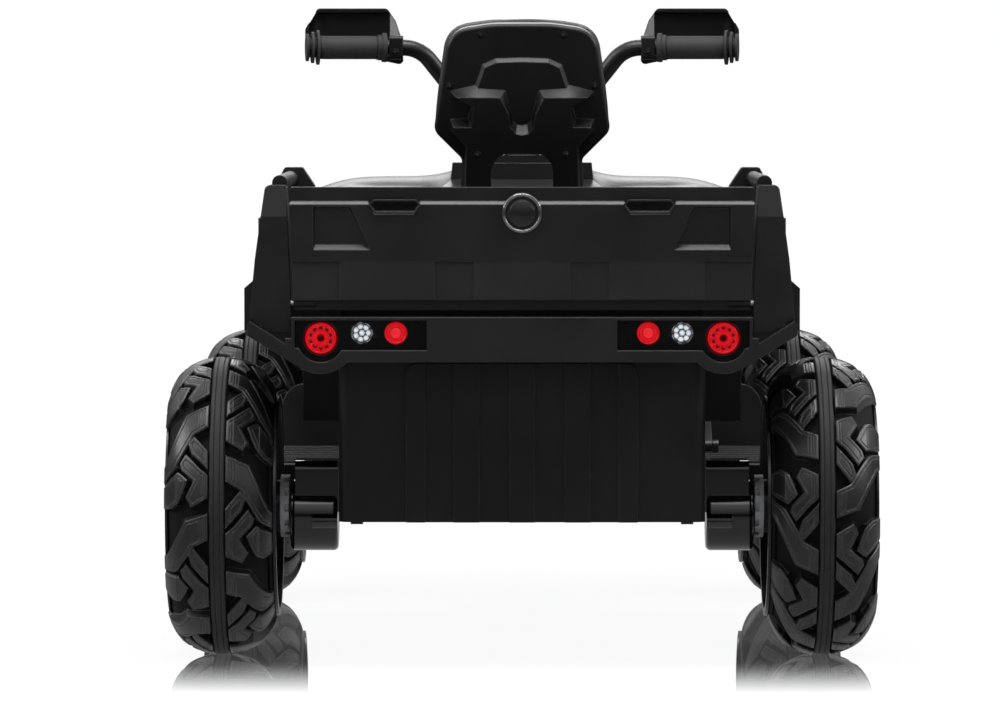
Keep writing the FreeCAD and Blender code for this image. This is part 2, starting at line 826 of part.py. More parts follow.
def gearbox():
    low_z = axle_z - gearbox_drop
    inner = tub_half_width + gearbox_flange
    drum = rod(gearbox_drum_radius, Vector(inner, rear_axle_y, low_z), Vector(gearbox_outer_x, rear_axle_y,
                                                                              low_z))
    drum = rounded(drum, gearbox_fillet,
                   lambda edge: edge.BoundBox.XLength < running_clearance
                   and edge.BoundBox.YLength > gearbox_drum_radius)
    half = gearbox_block_half_depth
    top = low_z + gearbox_block_height
    head = prism([(rear_axle_y - half, low_z), (rear_axle_y - half, top, 2 * gearbox_fillet),
                  (rear_axle_y + half, top, 2 * gearbox_fillet), (rear_axle_y + half, low_z)],
                 "side", inner, gearbox_outer_x - gearbox_fillet)
    flange = prism([(rear_axle_y - gearbox_drum_radius, tub_bottom_z + wall), (rear_axle_y - half,
                                                                               top - gearbox_fillet),
                    (rear_axle_y + half, top - gearbox_fillet), (rear_axle_y + gearbox_drum_radius,
                                                                 tub_bottom_z + wall)],
                   "side", tub_half_width, inner)
    boss_y, boss_z = rear_axle_y - gearbox_drum_radius, low_z - gearbox_boss_drop
    bosses = [rod(gearbox_boss_radius, Vector(inner, boss_y, boss_z),
                  Vector(inner + gearbox_boss_length, boss_y, boss_z))]
    for side in (-1, 1):
        place = Vector(inner, boss_y - gearbox_boss_radius, boss_z + side * gearbox_ridge_radius)
        bosses.append(rod(gearbox_ridge_radius, place, place + Vector(gearbox_boss_length, 0, 0)))
    return drum.fuse([head, flange] + bosses).cut(axle_bore(running_clearance))


def drive_motor():
    axis_z = axle_z + motor_rise
    can = rod(motor_radius, Vector(tub_half_width - motor_length, rear_axle_y, axis_z),
              Vector(tub_half_width, rear_axle_y, axis_z))
    tail = rod(motor_cap_radius, Vector(tub_half_width - motor_length - motor_cap_length, rear_axle_y,
                                        axis_z),
               Vector(tub_half_width - motor_length, rear_axle_y, axis_z))
    return can.fuse(tail)


def upright_box(half_width, y0, y1, z0, z1, corner):
    """Box with rounded upright edges."""
    return prism([(-half_width, y0, corner), (half_width, y0, corner), (half_width, y1, corner),
                  (-half_width, y1, corner)], "plan", z0, z1)


def chassis_tub():
    top = bed_floor_z - wall
    lap = 2 * tub_corner
    floor = tub_bottom_z + wall
    outer = upright_box(tub_half_width, tub_rear_y, tub_step_y, tub_bottom_z, top, tub_corner)
    outer = outer.fuse([
        upright_box(tub_half_width, tub_step_y - lap, tub_pan_front_y, tub_bottom_z, tub_pan_top_z,
                    tub_corner),
        upright_box(keel_half_width, tub_pan_front_y - lap, tub_front_y, tub_bottom_z, tub_pan_top_z,
                    tub_corner),
        rear_section(),
    ])
    bend = tub_corner - wall
    hollows = [
        upright_box(tub_half_width - wall, tub_rear_y + wall, tub_step_y - wall, floor, top + overrun, bend),
        upright_box(tub_half_width - wall, tub_step_y - lap, tub_pan_front_y - wall, floor,
                    tub_pan_top_z - wall, bend),
        upright_box(tub_half_width - wall, tub_step_y, tub_pan_front_y - wall, floor, tub_pan_top_z + overrun,
                    bend),
        upright_box(keel_half_width - wall, tub_pan_front_y - lap, tub_front_y - wall, floor,
                    tub_pan_top_z + overrun,
                    bend),
    ]
    for side in (-1, 1):
        axis_z = axle_z + motor_rise
        hollows.append(rod(motor_radius + seat_clearance, Vector(side * (tub_half_width - 2 * wall),
                                                                 rear_axle_y, axis_z),
                           Vector(side * (tub_half_width + wall), rear_axle_y, axis_z)))
    return outer.cut(hollows + flutes() + belly_vents() + [axle_bore(running_clearance)])


def rear_section():
    """Raised middle of the tub's rear face, with a foot at each lower corner."""
    face = prism([(-rear_section_half_width, tub_bottom_z), (rear_section_half_width, tub_bottom_z),
                  (rear_section_half_width, rear_section_top_z, tub_corner),
                  (-rear_section_half_width, rear_section_top_z, tub_corner)],
                 "rear", tub_rear_y - rear_section_depth, tub_rear_y + wall / 2)
    feet = []
    for side in (-1, 1):
        edge = side * (tub_half_width - tub_corner)
        inner = edge - side * skirt_width
        feet.append(block(min(edge, inner), max(edge, inner), tub_rear_y, tub_rear_y + tub_corner,
                          tub_bottom_z - skirt_drop, tub_bottom_z + wall))
    return face.fuse(feet)


def flutes():
    """Upright channels in the raised rear face."""
    face = tub_rear_y - rear_section_depth
    cuts = []
    for inner, outer in flute_shares:
        cut = block(inner * rear_section_half_width, outer * rear_section_half_width, face - overrun,
                    face + flute_depth, tub_bottom_z - overrun, rear_section_top_z + overrun)
        cuts += [cut, mirrored(cut)]
    return cuts


def belly_vents():
    cuts = []
    for row in range(vent_rows):
        y = vent_front_y - vent_pitch * row
        for share in vent_columns_shares:
            for side in (-1, 1):
                x = side * share * tub_half_width
                cuts.append(block(x - vent_length / 2, x + vent_length / 2, y - vent_width, y,
                                  tub_bottom_z - overrun, tub_bottom_z + wall + overrun))
    return cuts


def rear_half(inset):
    """Half of the rear body's rear outline, drawn in by inset."""
    middle_z = (body_top_z + body_bottom_z) / 2
    middle_x = body_bottom_half_width * body_middle_share
    low = body_bottom_z - (overrun if inset else 0)
    return [(body_top_half_width - inset, body_top_z + overrun), (body_top_half_width - inset,
                                                                  body_top_z - inset),
            (middle_x - inset, middle_z), (body_bottom_half_width - inset, low)]


def body_side(inset, cap):
    """Side outline of the rear body: tall pillar at the back, lower wall under the rail."""
    low = body_bottom_z - (overrun if inset else 0)
    top = body_top_z - cap
    rail = body_rail_z - inset
    pillar = body_rear_y + pillar_depth - inset
    return [(body_rear_y + inset, low), (body_rear_y + inset, pillar_crease_z),
            (body_rear_y + pillar_lean + inset, top), (pillar, top),
            (pillar + pillar_slope, rail), (body_front_y - body_front_chamfer - inset, rail),
            (body_front_y - inset, rail - body_front_chamfer), (body_front_y - inset, low)]


def bed_space(grow, rear_y):
    """Cargo space over the bed floor; grow makes it larger by a wall all round."""
    floor = bed_floor_z - grow
    half = [(bed_top_half_width + grow, body_top_z + 2 * overrun), (bed_floor_half_width + grow, floor)]
    return prism(both_sides(half), "rear", rear_y, bed_front_y + grow)


def deck_space(grow):
    """Open space over the deck in front of the bed, where the seat and backrest stand."""
    half = [(bed_top_half_width + grow, body_top_z + 2 * overrun), (bed_floor_half_width + grow,
                                                                    deck_z - grow)]
    return prism(both_sides(half), "rear", bed_front_y + wall - grow, body_front_y + overrun)


def wheel_flare():
    top = body_bottom_z + flare_height
    inner = body_bottom_half_width - body_bottom_half_width * flare_root_share
    outer = body_bottom_half_width + flare_reach
    return prism([(inner, body_bottom_z), (outer, body_bottom_z), (outer, top - flare_slope), (inner, top)],
                 "rear", flare_rear_y, flare_front_y)


def rear_body():
    whole = prism(both_sides(rear_half(0)), "rear", body_rear_y, body_front_y)
    whole = whole.common(prism(body_side(0, 0), "side", -overall_width, overall_width))
    whole = rounded(whole, body_edge_fillet, lambda edge: edge.BoundBox.ZMin > body_rail_z - running_clearance
                    and edge.BoundBox.XLength < overrun and edge.BoundBox.YLength > pillar_slope / 2)
    hollow = prism(both_sides(rear_half(wall)), "rear", body_rear_y, body_front_y)
    hollow = hollow.common(prism(body_side(wall, pillar_cap), "side", -overall_width, overall_width))
    flare = wheel_flare()
    hollow = hollow.cut([bed_space(wall, body_rear_y + bed_floor_start - wall), deck_space(wall)])
    whole = whole.fuse([flare, mirrored(flare)]).cut(hollow)
    throat = block(-bed_floor_half_width, bed_floor_half_width, body_rear_y - overrun,
                   body_rear_y + bed_floor_start,
                   body_bottom_z - overrun, bed_floor_z + overrun)
    high = block(-bed_top_half_width, bed_top_half_width, bed_front_y - overrun, bed_front_y + wall + overrun,
                 bed_front_wall_z, body_top_z + overrun)
    cuts = [bed_space(0, body_rear_y - overrun), deck_space(0), throat, high, bumper_envelope()]
    for side in (-1, 1):
        cuts.append(rod(rail_radius + running_clearance, Vector(side * rail_x, rail_rear_y, rail_z),
                        Vector(side * rail_x, rail_bracket_y, rail_z)))
        cuts.append(hinge_rod(side, tailgate_pin_radius + running_clearance, 0))
    return whole.cut(cuts)


def hinge_rod(side, radius, end_gap):
    inner = bed_floor_half_width - tailgate_gap - tailgate_barrel_length + end_gap
    start = tailgate_hinge + Vector(side * inner, 0, 0)
    end = tailgate_hinge + Vector(side * (bed_floor_half_width + wall), 0, 0)
    return rod(radius, start, end)


def lip_outline(grow):
    """Half outline of the bumper without its lobe, from the top middle to the bottom middle."""
    lamp = lamp_panel_half_width + grow
    notch_z = big_lamp_z - big_lamp_radius * notch_share
    slope_x = big_lamp_x + lobe_radius * math.sin(math.radians(lobe_half_angle))
    slope_z = big_lamp_z - lobe_radius * math.cos(math.radians(lobe_half_angle)) - grow
    return [(lamp, bumper_top_z + grow), (lamp, notch_z + grow), (bumper_half_width - wall,
                                                                  wing_high_z + grow),
            (bumper_half_width + grow, wing_high_z - wall + grow), (bumper_half_width + grow,
                                                                    wing_low_z - grow),
            (slope_x + grow, slope_z), (slope_x - lobe_radius, lip_centre_z - grow)]


def bumper_blank(grow, rear_y, front_y):
    plate = prism(both_sides(lip_outline(grow)), "rear", rear_y, front_y)
    lobes = []
    for side in (-1, 1):
        x = side * big_lamp_x
        lobe = rod(lobe_radius + grow, Vector(x, rear_y, big_lamp_z), Vector(x, front_y, big_lamp_z))
        lobes.append(lobe.common(block(x - 2 * lobe_radius, x + 2 * lobe_radius, rear_y, front_y,
                                       big_lamp_z - 2 * lobe_radius, big_lamp_z)))
    return plate.fuse(lobes)


def bumper_envelope():
    return bumper_blank(tailgate_gap / 2, -half_length - overrun,
                        -half_length + bumper_depth + running_clearance)


def lamp_region(inset, rear_y, front_y):
    """Space of the lamp panel on the right: a strip with a round end about the big lamp."""
    strip = prism([(bumper_centre_half_width + inset, lip_centre_z + lip_band_height + inset),
                   (bumper_centre_half_width + inset, bumper_top_z - ledge_height - inset),
                   (lamp_panel_half_width - ledge_height - inset, bumper_top_z - ledge_height - inset),
                   (lamp_panel_half_width - ledge_height - inset,
                    big_lamp_z - big_lamp_radius * notch_share + inset),
                   (big_lamp_x, lip_centre_z + lip_band_height + inset)], "rear", rear_y, front_y)
    end = rod(lobe_radius - lip_band_height - inset, Vector(big_lamp_x, rear_y, big_lamp_z),
              Vector(big_lamp_x, front_y, big_lamp_z))
    end = end.common(block(0, overall_width, rear_y, front_y, 0, bumper_top_z - ledge_height - inset))
    return strip.fuse(end).removeSplitter()


def rear_bumper():
    rear = -half_length
    seat = rear + lamp_recess + lamp_panel_thickness
    blank = bumper_blank(0, rear, rear + bumper_depth)
    region = lamp_region(0, rear - overrun, seat)
    hollow = block(-lamp_panel_half_width + bumper_wall, lamp_panel_half_width - bumper_wall,
                   seat + bumper_wall,
                   rear + bumper_depth + overrun, lip_centre_z + bumper_wall, bumper_top_z - bumper_wall)
    return blank.cut([region, mirrored(region), hollow])


lamp_places = {
    "tail_lenses": (big_lamp_x, big_lamp_z, big_lamp_radius),
    "reversing_lenses": (clear_lamp_x, small_lamp_z, clear_lamp_radius),
    "stop_lenses": (small_lamp_x, small_lamp_z, small_lamp_radius),
}


def lamp_panels():
    face = -half_length + lamp_recess
    panel = lamp_region(lamp_panel_gap, face, face + lamp_panel_thickness)
    holes = [rod(radius + running_clearance, Vector(x, face - overrun, z),
                 Vector(x, face + lamp_panel_thickness + overrun, z))
             for x, z, radius in lamp_places.values()]
    return pair(panel.cut(holes))


def lamp_lenses(x, z, radius):
    face = -half_length + lamp_recess
    lens = rod(radius, Vector(x, face - lamp_proud, z), Vector(x, face + lamp_panel_thickness, z))
    lens = rounded(lens, lamp_fillet, lambda edge: edge.BoundBox.YMax < face
                   and edge.BoundBox.YLength < running_clearance)
    return pair(lens)


def tailgate_width(z):
    low = bed_floor_half_width - tailgate_gap
    high = bed_top_half_width - tailgate_gap
    return low + (high - low) * (z - tailgate_bottom_z) / (tailgate_top_z - tailgate_bottom_z)


def gate_x(share):
    return share * tailgate_width(tailgate_top_z)


def gate_z(share):
    return tailgate_bottom_z + share * (tailgate_top_z - tailgate_bottom_z)


def gate_slab(z0, z1, y0, y1, corner):
    half = [(tailgate_width(z1), z1, corner), (tailgate_width(z0), z0)]
    return prism(both_sides(half), "rear", y0, y1)


def gate_recess(side, face_y, floor_y):
    """Cut for one wide recess: drafted sides and a sloping sill."""
    face = [(gate_x(a), gate_z(b)) for a, b in recess_shares]
    shifts = [(-recess_draft, -recess_draft), (recess_draft, -recess_draft), (recess_draft, recess_sill),
              (-recess_draft, recess_sill)]
    floor = [(x + dx, z + dz) for (x, z), (dx, dz) in zip(face, shifts)]
    wires = []
    for y, corners in ((face_y - overrun, face), (face_y, face), (floor_y, floor)):
        points = [Vector(side * x, y, z) for x, z in corners]
        wires.append(Part.makePolygon(points + points[:1]))
    return Part.makeLoft(wires, True, True)


def gate_ledge(low, face_y, base_y):
    """Side profile of the thick field, with a chamfer along its upper edge."""
    ledge_z = tailgate_top_z - tailgate_lip_height
    return prism([(base_y, low), (face_y, low), (face_y, ledge_z - tailgate_chamfer),
                  (face_y + tailgate_chamfer, ledge_z), (base_y, ledge_z)],
                 "side", -overall_width, overall_width)


def field_wedge(face_y):
    """Cut that leans the lower field in, from nothing at its foot to a crease."""
    low, crease = tailgate_bottom_z + tailgate_strip_height, gate_z(field_crease_share_z)
    return prism([(face_y - overrun, low), (face_y, low), (face_y + field_lean, crease),
                  (face_y - overrun, crease)], "side", -overall_width, overall_width)


def panel_wedge(panel_y, low, high):
    """Cut that leans a raised panel in with the field."""
    slope = field_lean / (gate_z(field_crease_share_z) - tailgate_bottom_z - tailgate_strip_height)
    return prism([(panel_y - overrun, low), (panel_y, low), (panel_y + slope * (high - low), high),
                  (panel_y - overrun, high)], "side", -overall_width, overall_width)


def tailgate():
    inner = body_rear_y + tailgate_inset + tailgate_base
    base_y = body_rear_y + tailgate_inset
    face_y = base_y - tailgate_raise
    ledge_z = tailgate_top_z - tailgate_lip_height
    field_z = tailgate_bottom_z + tailgate_strip_height
    field = gate_slab(field_z, ledge_z, face_y, base_y, tailgate_corner / 2)
    solids = [
        field.common(gate_ledge(field_z, face_y, base_y)).cut(field_wedge(face_y)),
        gate_slab(tailgate_top_z - tailgate_flange, tailgate_top_z, base_y, inner + tailgate_flange,
                  tailgate_corner / 2),
    ]
    panel_y = face_y - tailgate_panel_raise
    low, high = (gate_z(share) for share in panel_share_z)
    for left, right in panel_shares_x:
        panel = prism([(gate_x(left), low), (gate_x(right), low), (gate_x(right), high, tailgate_corner / 2),
                       (gate_x(left), high, tailgate_corner / 2)], "rear", panel_y, base_y)
        solids.append(panel.cut(panel_wedge(panel_y, low, high)))
    cuts = []
    for side in (-1, 1):
        pocket = sorted(side * gate_x(share) for share in pocket_share_x)
        low, high = gate_z(pocket_share_z[0]), gate_z(pocket_share_z[1])
        solids.append(block(pocket[0] - pocket_wall, pocket[1] + pocket_wall, inner,
                            base_y + pocket_depth + pocket_wall,
                            low - pocket_wall, high + pocket_wall))
        cuts.append(block(pocket[0], pocket[1], face_y - overrun, base_y + pocket_depth, low, high))
        notch = [(side * gate_x(notch_share_x[0]), ledge_z + overrun), (side * gate_x(pocket_share_x[0]),
                                                                        gate_z(notch_floor_share_z)),
                 (side * gate_x(pocket_share_x[1]), gate_z(notch_floor_share_z)),
                 (side * gate_x(notch_share_x[1]), ledge_z + overrun)]
        cuts.append(prism(notch, "rear", face_y - overrun, base_y))
        cuts.append(gate_recess(side, face_y, base_y - tailgate_raise * recess_floor_share))
        barrel_end = bed_floor_half_width - tailgate_gap
        solids.append(rod(tailgate_barrel_radius,
                          tailgate_hinge + Vector(side * (barrel_end - tailgate_barrel_length), 0, 0),
                          tailgate_hinge + Vector(side * barrel_end, 0, 0)))
        cuts.append(hinge_rod(side, tailgate_pin_radius + running_clearance, 0))
    base = gate_slab(tailgate_bottom_z, tailgate_top_z, base_y, inner, tailgate_corner)
    return base.fuse(solids).cut(cuts)


def tailgate_badge():
    """Plain round boss with a low dome."""
    face_y = body_rear_y + tailgate_inset - tailgate_raise
    z = gate_z(badge_share_z)
    disc = rod(badge_radius, Vector(0, face_y - badge_thickness, z), Vector(0, face_y, z))
    ball = (badge_radius * badge_radius / 4 + badge_dome * badge_dome) / (2 * badge_dome)
    dome = Part.makeSphere(ball, Vector(0, face_y - badge_thickness - badge_dome + ball, z))
    dome = dome.common(rod(badge_radius / 2, Vector(0, face_y - badge_thickness - overrun, z),
                           Vector(0, face_y, z)))
    return disc.fuse(dome)


def tailgate_pins():
    return Part.Compound([hinge_rod(side, tailgate_pin_radius, seat_clearance) for side in (-1, 1)])


def grab_rail():
    bar = rod(rail_radius, Vector(rail_x, rail_rear_y, rail_z), Vector(rail_x, rail_bracket_y, rail_z))
    flat = rail_x - bracket_flat_offset
    foot = prism([(bed_top_half_width, body_rail_z), (rail_x + bracket_foot_reach, body_rail_z),
                  (bracket_outer_x, bracket_knee_z),
                  (flat + bracket_flat_width, bracket_top_z, bracket_fillet),
                  (flat, bracket_top_z, bracket_fillet), (bracket_inner_x, bracket_knee_z)],
                 "rear", rail_bracket_y - bracket_length / 2, rail_bracket_y + bracket_length / 2)
    return bar.fuse(foot)


def backrest_z(share):
    return backrest_bottom_z + share * (backrest_top_z - backrest_bottom_z)


def backrest_leaned(shape):
    shape.rotate(Vector(0, backrest_rear_y, deck_z), Vector(1, 0, 0), backrest_lean)
    return shape


def backrest_half(grow):
    """Half outline of the panel from the crown to the leg."""
    radii = [backrest_crown_radius, backrest_top_corner, backrest_low_corner, backrest_leg_corner]
    ups = [1, 1, 0, -1]
    return [(a * backrest_half_width + grow, backrest_z(b) + up * grow, radius)
            for (a, b), radius, up in zip(backrest_crown_shares, radii, ups)]


def backrest_level(root_shares, face_shares, rise, low_half):
    """Raised level of the moulding with drafted sides, standing on the panel's rear face."""
    rows = []
    for y, shares, low in ((backrest_rear_y + backrest_edge_fillet, root_shares, low_half[0]),
                           (backrest_rear_y, root_shares, low_half[0]),
                           (backrest_rear_y - rise, face_shares, low_half[1])):
        half = [(a * backrest_half_width, backrest_z(b)) for a, b in shares]
        rows.append((y, low + half))
    return loft(rows)


def backrest_shell():
    foot = deck_z - 2 * overrun
    front = backrest_rear_y + backrest_panel_depth
    panel = prism(both_sides(backrest_half(0) + [(backrest_leg_outer, foot)]), "rear", backrest_rear_y, front)
    panel = rounded(panel, backrest_edge_fillet, lambda edge: edge.BoundBox.YLength < running_clearance
                    and edge.BoundBox.YMax < backrest_rear_y + running_clearance
                    and edge.BoundBox.ZMax > backrest_z(backrest_crown_shares[-1][1]) + overrun)
    step_z = backrest_z(step_root_shares[0][1])
    step = backrest_level(step_root_shares, step_face_shares, backrest_step, [[(0, step_z)], [(0, step_z)]])
    legs = [[(0, foot), (backrest_leg_outer - wall, foot)], [(0, foot), (backrest_leg_face, foot)]]
    posts = backrest_level(relief_root_shares, relief_face_shares, backrest_relief, legs)
    arch = prism([(-backrest_leg_inner, foot - overrun), (backrest_leg_inner, foot - overrun),
                  (backrest_leg_inner, backrest_arch_z, backrest_arch_radius),
                  (-backrest_leg_inner, backrest_arch_z, backrest_arch_radius)],
                 "rear", backrest_rear_y - 2 * backrest_relief, front + overrun)
    whole = backrest_leaned(panel.fuse([step, posts]).cut(arch))
    return whole.cut(block(-overall_width, overall_width, -half_length, half_length, 0, deck_z))


def cushion(outlines):
    """Soft pad lofted through rounded outlines."""
    return Part.makeLoft(outlines, True, False)


def backrest_pad():
    front = backrest_rear_y + backrest_panel_depth + seat_clearance
    low = backrest_z(0) + backrest_low_corner
    stages = [(0, -pad_draw_in), (pad_crown, pad_margin), (backrest_pad_depth - pad_crown, pad_margin),
              (backrest_pad_depth, -pad_crown)]
    wires = []
    for depth, grow in stages:
        half = backrest_half(grow)[:-1] + [(backrest_leg_outer + grow, low - grow, backrest_low_corner)]
        wires.append(outline(both_sides(half), on_plane("rear", front + depth)))
    return backrest_leaned(cushion(wires))


def seat_pad():
    stages = [(seat_clearance, -seat_draw_in), (seat_crown, seat_overhang), (seat_height - seat_crown,
                                                                             seat_overhang),
              (seat_height, -2 * seat_crown)]
    wires = []
    for rise, grow in stages:
        half_width = saddle_top_half_width + grow
        corners = [(-half_width, seat_rear_y - grow, seat_corner + grow), (half_width, seat_rear_y - grow,
                                                                           seat_corner + grow),
                   (half_width - seat_taper, seat_front_y + grow, seat_corner + grow),
                   (-half_width + seat_taper, seat_front_y + grow, seat_corner + grow)]
        wires.append(outline(corners, on_plane("plan", deck_z + rise)))
    return cushion(wires)


def saddle_sections(inset):
    """Sections of the saddle body from the deck to the tank, drawn in by inset."""
    floor = tub_bottom_z + wall - (overrun if inset else 0)
    shoulder = deck_z - saddle_shoulder
    neck = saddle_top_half_width - saddle_shoulder * tank_neck_share
    rows = [
        (saddle_rear_y + inset, saddle_half_width, shoulder, saddle_top_half_width, deck_z),
        (tank_start_y, saddle_half_width, shoulder, saddle_top_half_width, deck_z),
        (tank_full_y, saddle_half_width, shoulder, neck, tank_top_z - tank_slope),
        (cowl_rear_y - inset, cowl_half_width, shoulder, cowl_half_width - tank_slope, tank_top_z),
    ]
    return [(y, [(wide - inset, floor), (wide - inset, middle), (narrow - inset, top - inset),
                 (0, top - inset)])
            for y, wide, middle, narrow, top in rows]


def saddle_body():
    body = loft(saddle_sections(0)).cut(loft(saddle_sections(wall)))
    return body.fuse([tower_blank(0).cut(tower_blank(wall))] + side_panels())


def tower_blank(inset):
    """Sloping tower under the cowl, drawn in by inset; a negative inset is the room left round it."""
    low = tub_bottom_z + wall - (overrun if inset else 0)
    rear_x, rear_z = cowl_half_width - wall - inset, cowl_bottom_z - wall - inset
    front_x, front_z = tower_front_half_width - inset, tower_front_z - inset
    rear = [(rear_x, low), (rear_x, rear_z), (0, rear_z)]
    front = [(front_x, low), (front_x, front_z), (0, front_z)]
    return loft([(cowl_rear_y - (wall if inset > 0 else 0), rear), (tower_front_y - inset, front)])


def side_panels():
    """Raised panel on each side of the saddle, over the footboard."""
    low, high = footboard_top_z, deck_z - saddle_shoulder
    corners = [(blend(saddle_rear_y, tank_start_y, a), blend(low, high, b), side_panel_corner) for a,
               b in side_panel_shares]
    panel = prism(corners, "side", saddle_half_width - wall / 2, saddle_half_width + side_panel_raise)
    return [panel, mirrored(panel)]


def blend(low, high, share):
    return low + (high - low) * share


def hood_blank(inset):
    """Hood from the cowl to the nose, drawn in by inset and open below."""
    under = overrun if inset else 0
    rows = []
    for along, top_half, top_fall, low_half, low_fall in hood_shares:
        y = blend(cowl_rear_y + inset, nose_y - inset, along)
        top = cowl_top_z - top_fall * hood_fall - inset
        low = cowl_bottom_z - low_fall * hood_fall - under
        rows.append((y, [(low_half * cowl_half_width - inset, low), (top_half * cowl_half_width - inset, top),
                         (0, top)]))
    return loft(rows)


def fender_blank(inset):
    """Right fender with a flat top, a sloping edge and a lip, drawn in by inset and open below."""
    under = overrun if inset else 0
    wires = []
    for along, flat_half, rim_half, fall, drop in fender_shares:
        y = blend(fender_rear_y + inset, fender_front_y - inset, along)
        top = fender_top_z - fall * fender_fall - inset
        edge = top - drop * fender_edge_drop
        flat = flat_half * fender_flat_outer - inset
        rim_x = rim_half * fender_half_width - inset
        low = edge + inset - fender_lip - under
        corners = [(fender_root_x, low), (rim_x, low), (rim_x, edge), (flat, top), (fender_root_x, top)]
        points = [Vector(x, y, z) for x, z in corners]
        wires.append(Part.makePolygon(points + points[:1]))
    return Part.makeLoft(wires, True, True)


def mask_blank(inset):
    """Front mask under the hood, drawn in by inset and open to the rear."""
    rows = []
    for y, shares in ((mask_rear_y - (overrun if inset else 0), mask_rear_shares), (mask_front_y - inset,
                                                                                    mask_front_shares)):
        half = [(a * mask_half_width - inset, mask_low_z + b * mask_height) for a, b in shares]
        rows.append((y, [(x, z + inset if z < half[1][1] else z - inset) for x, z in half]))
    return loft(rows)


def headlamp_window(grow, y0, y1):
    corners = [(a * mask_half_width, mask_low_z + b * mask_height, headlamp_corner + grow) for a,
               b in headlamp_shares]
    wire = outline(corners, on_plane("rear", y0))
    if grow:
        wire = wire.makeOffset2D(grow)
    return Part.Face(wire).extrude(Vector(0, y1 - y0, 0))


def front_body():
    solids, hollows = [mask_blank(0)], [hood_blank(wall), mask_blank(wall)]
    for side in (mirrored, Part.Shape.copy):
        solids += [side(fender_blank(0)), side(headlamp_window(headlamp_bezel, mask_front_y - wall,
                                                               mask_front_y + headlamp_proud))]
        hollows += [side(fender_blank(wall)), side(headlamp_window(headlamp_gap, mask_rear_y, front_y))]
    hole = rod(column_radius + column_hole_clearance, column_at(beam_high_z), column_at(grip_z))
    shell = hood_blank(0).fuse(solids).cut(hollows + [hole, tower_blank(-seat_clearance)])
    return max(shell.Solids, key=lambda solid: solid.Volume)


def headlamp_lenses():
    face = mask_front_y + headlamp_proud / 2
    return pair(headlamp_window(0, mask_front_y - wall, face))


def front_grille():
    y0 = tub_front_y - wall
    panel = prism([(-grille_half_width, tub_pan_top_z), (grille_half_width, tub_pan_top_z),
                   (grille_half_width - grille_corner, grille_top_z, grille_corner),
                   (-grille_half_width + grille_corner, grille_top_z, grille_corner)], "rear", y0,
                  y0 + grille_thickness)
    pitch = (grille_top_z - tub_pan_top_z - 2 * grille_margin) / grille_bar_count
    wide = grille_half_width - grille_corner - grille_margin
    slots = []
    for place in range(grille_bar_count):
        z = tub_pan_top_z + grille_margin + pitch * (place + 1 / 2)
        half = grille_slot_height / 2
        slots.append(prism([(-wide, z - half, half / 2), (wide, z - half, half / 2), (wide, z + half,
                                                                                      half / 2),
                            (-wide, z + half, half / 2)], "rear", y0 - overrun,
                           y0 + grille_thickness + overrun))
    return panel.cut(slots)


def front_bumper():
    reach = front_y - bumper_tube_radius
    half = bumper_tube_half_width
    path = [Vector(-half, tub_front_y, bumper_tube_low_z), Vector(-half, reach, bumper_tube_low_z),
            Vector(-half, reach, bumper_tube_top_z), Vector(half, reach, bumper_tube_top_z),
            Vector(half, reach, bumper_tube_low_z), Vector(half, tub_front_y, bumper_tube_low_z)]
    hoop = tube(path, bumper_tube_radius, bumper_tube_bend)
    bar = rod(bumper_tube_radius * bar_tube_share, Vector(-half, reach, bumper_tube_bar_z),
              Vector(half, reach, bumper_tube_bar_z))
    return hoop.fuse(bar)


def footboard():
    low = tub_pan_top_z
    top = footboard_top_z
    plate = prism([(footboard_inner_x, footboard_rear_y), (footboard_outer_x, footboard_rear_y,
                                                           footboard_corner),
                   (footboard_outer_x, footboard_front_y, footboard_corner), (footboard_inner_x,
                                                                              footboard_front_y)],
                  "plan", low - footboard_skirt, top)
    under = prism([(footboard_inner_x - overrun, footboard_rear_y + wall),
                   (footboard_outer_x - wall, footboard_rear_y + wall, footboard_corner - wall),
                   (footboard_outer_x - wall, footboard_front_y - wall, footboard_corner - wall),
                   (footboard_inner_x - overrun, footboard_front_y - wall)], "plan",
                  low - footboard_skirt - overrun, low)
    tub_room = block(0, tub_half_width + seat_clearance, footboard_rear_y - overrun,
                     footboard_front_y + overrun,
                     low - footboard_skirt - overrun, low)
    back = footboard_rear_y + wall
    rear_wall = block(footboard_inner_x, tub_half_width, footboard_rear_y, back, top, body_bottom_z)
    high_wall = block(footboard_inner_x, footboard_rear_wall_x, footboard_rear_y, back, footboard_wall_z,
                      body_bottom_z)
    front_wall = prism([(footboard_inner_x, top), (footboard_outer_x - footboard_corner, top),
                        (footboard_outer_x - 2 * footboard_corner, footboard_front_wall_z, footboard_corner),
                        (footboard_inner_x, footboard_front_wall_z)], "rear", footboard_front_y - wall,
                       footboard_front_y)
    board = plate.cut([under, tub_room]).fuse([rear_wall, high_wall, front_wall])
    return board.fuse(footboard_ribs())


def footboard_ribs():
    span = footboard_front_y - footboard_rear_y - 2 * footboard_rib_margin
    pitch = span / (footboard_rib_count - 1)
    ribs = []
    for place in range(footboard_rib_count):
        y = footboard_rear_y + footboard_rib_margin + pitch * place
        ribs.append(block(footboard_inner_x + footboard_rib_margin, footboard_outer_x - footboard_rib_margin,
                          y - footboard_rib_width / 2, y + footboard_rib_width / 2,
                          footboard_top_z - wall / 2,
                          footboard_top_z + footboard_rib_height))
    return ribs


def pedal_axis():
    return Vector(pedal_x, pedal_hinge_y, footboard_top_z + pedal_hinge_rise)


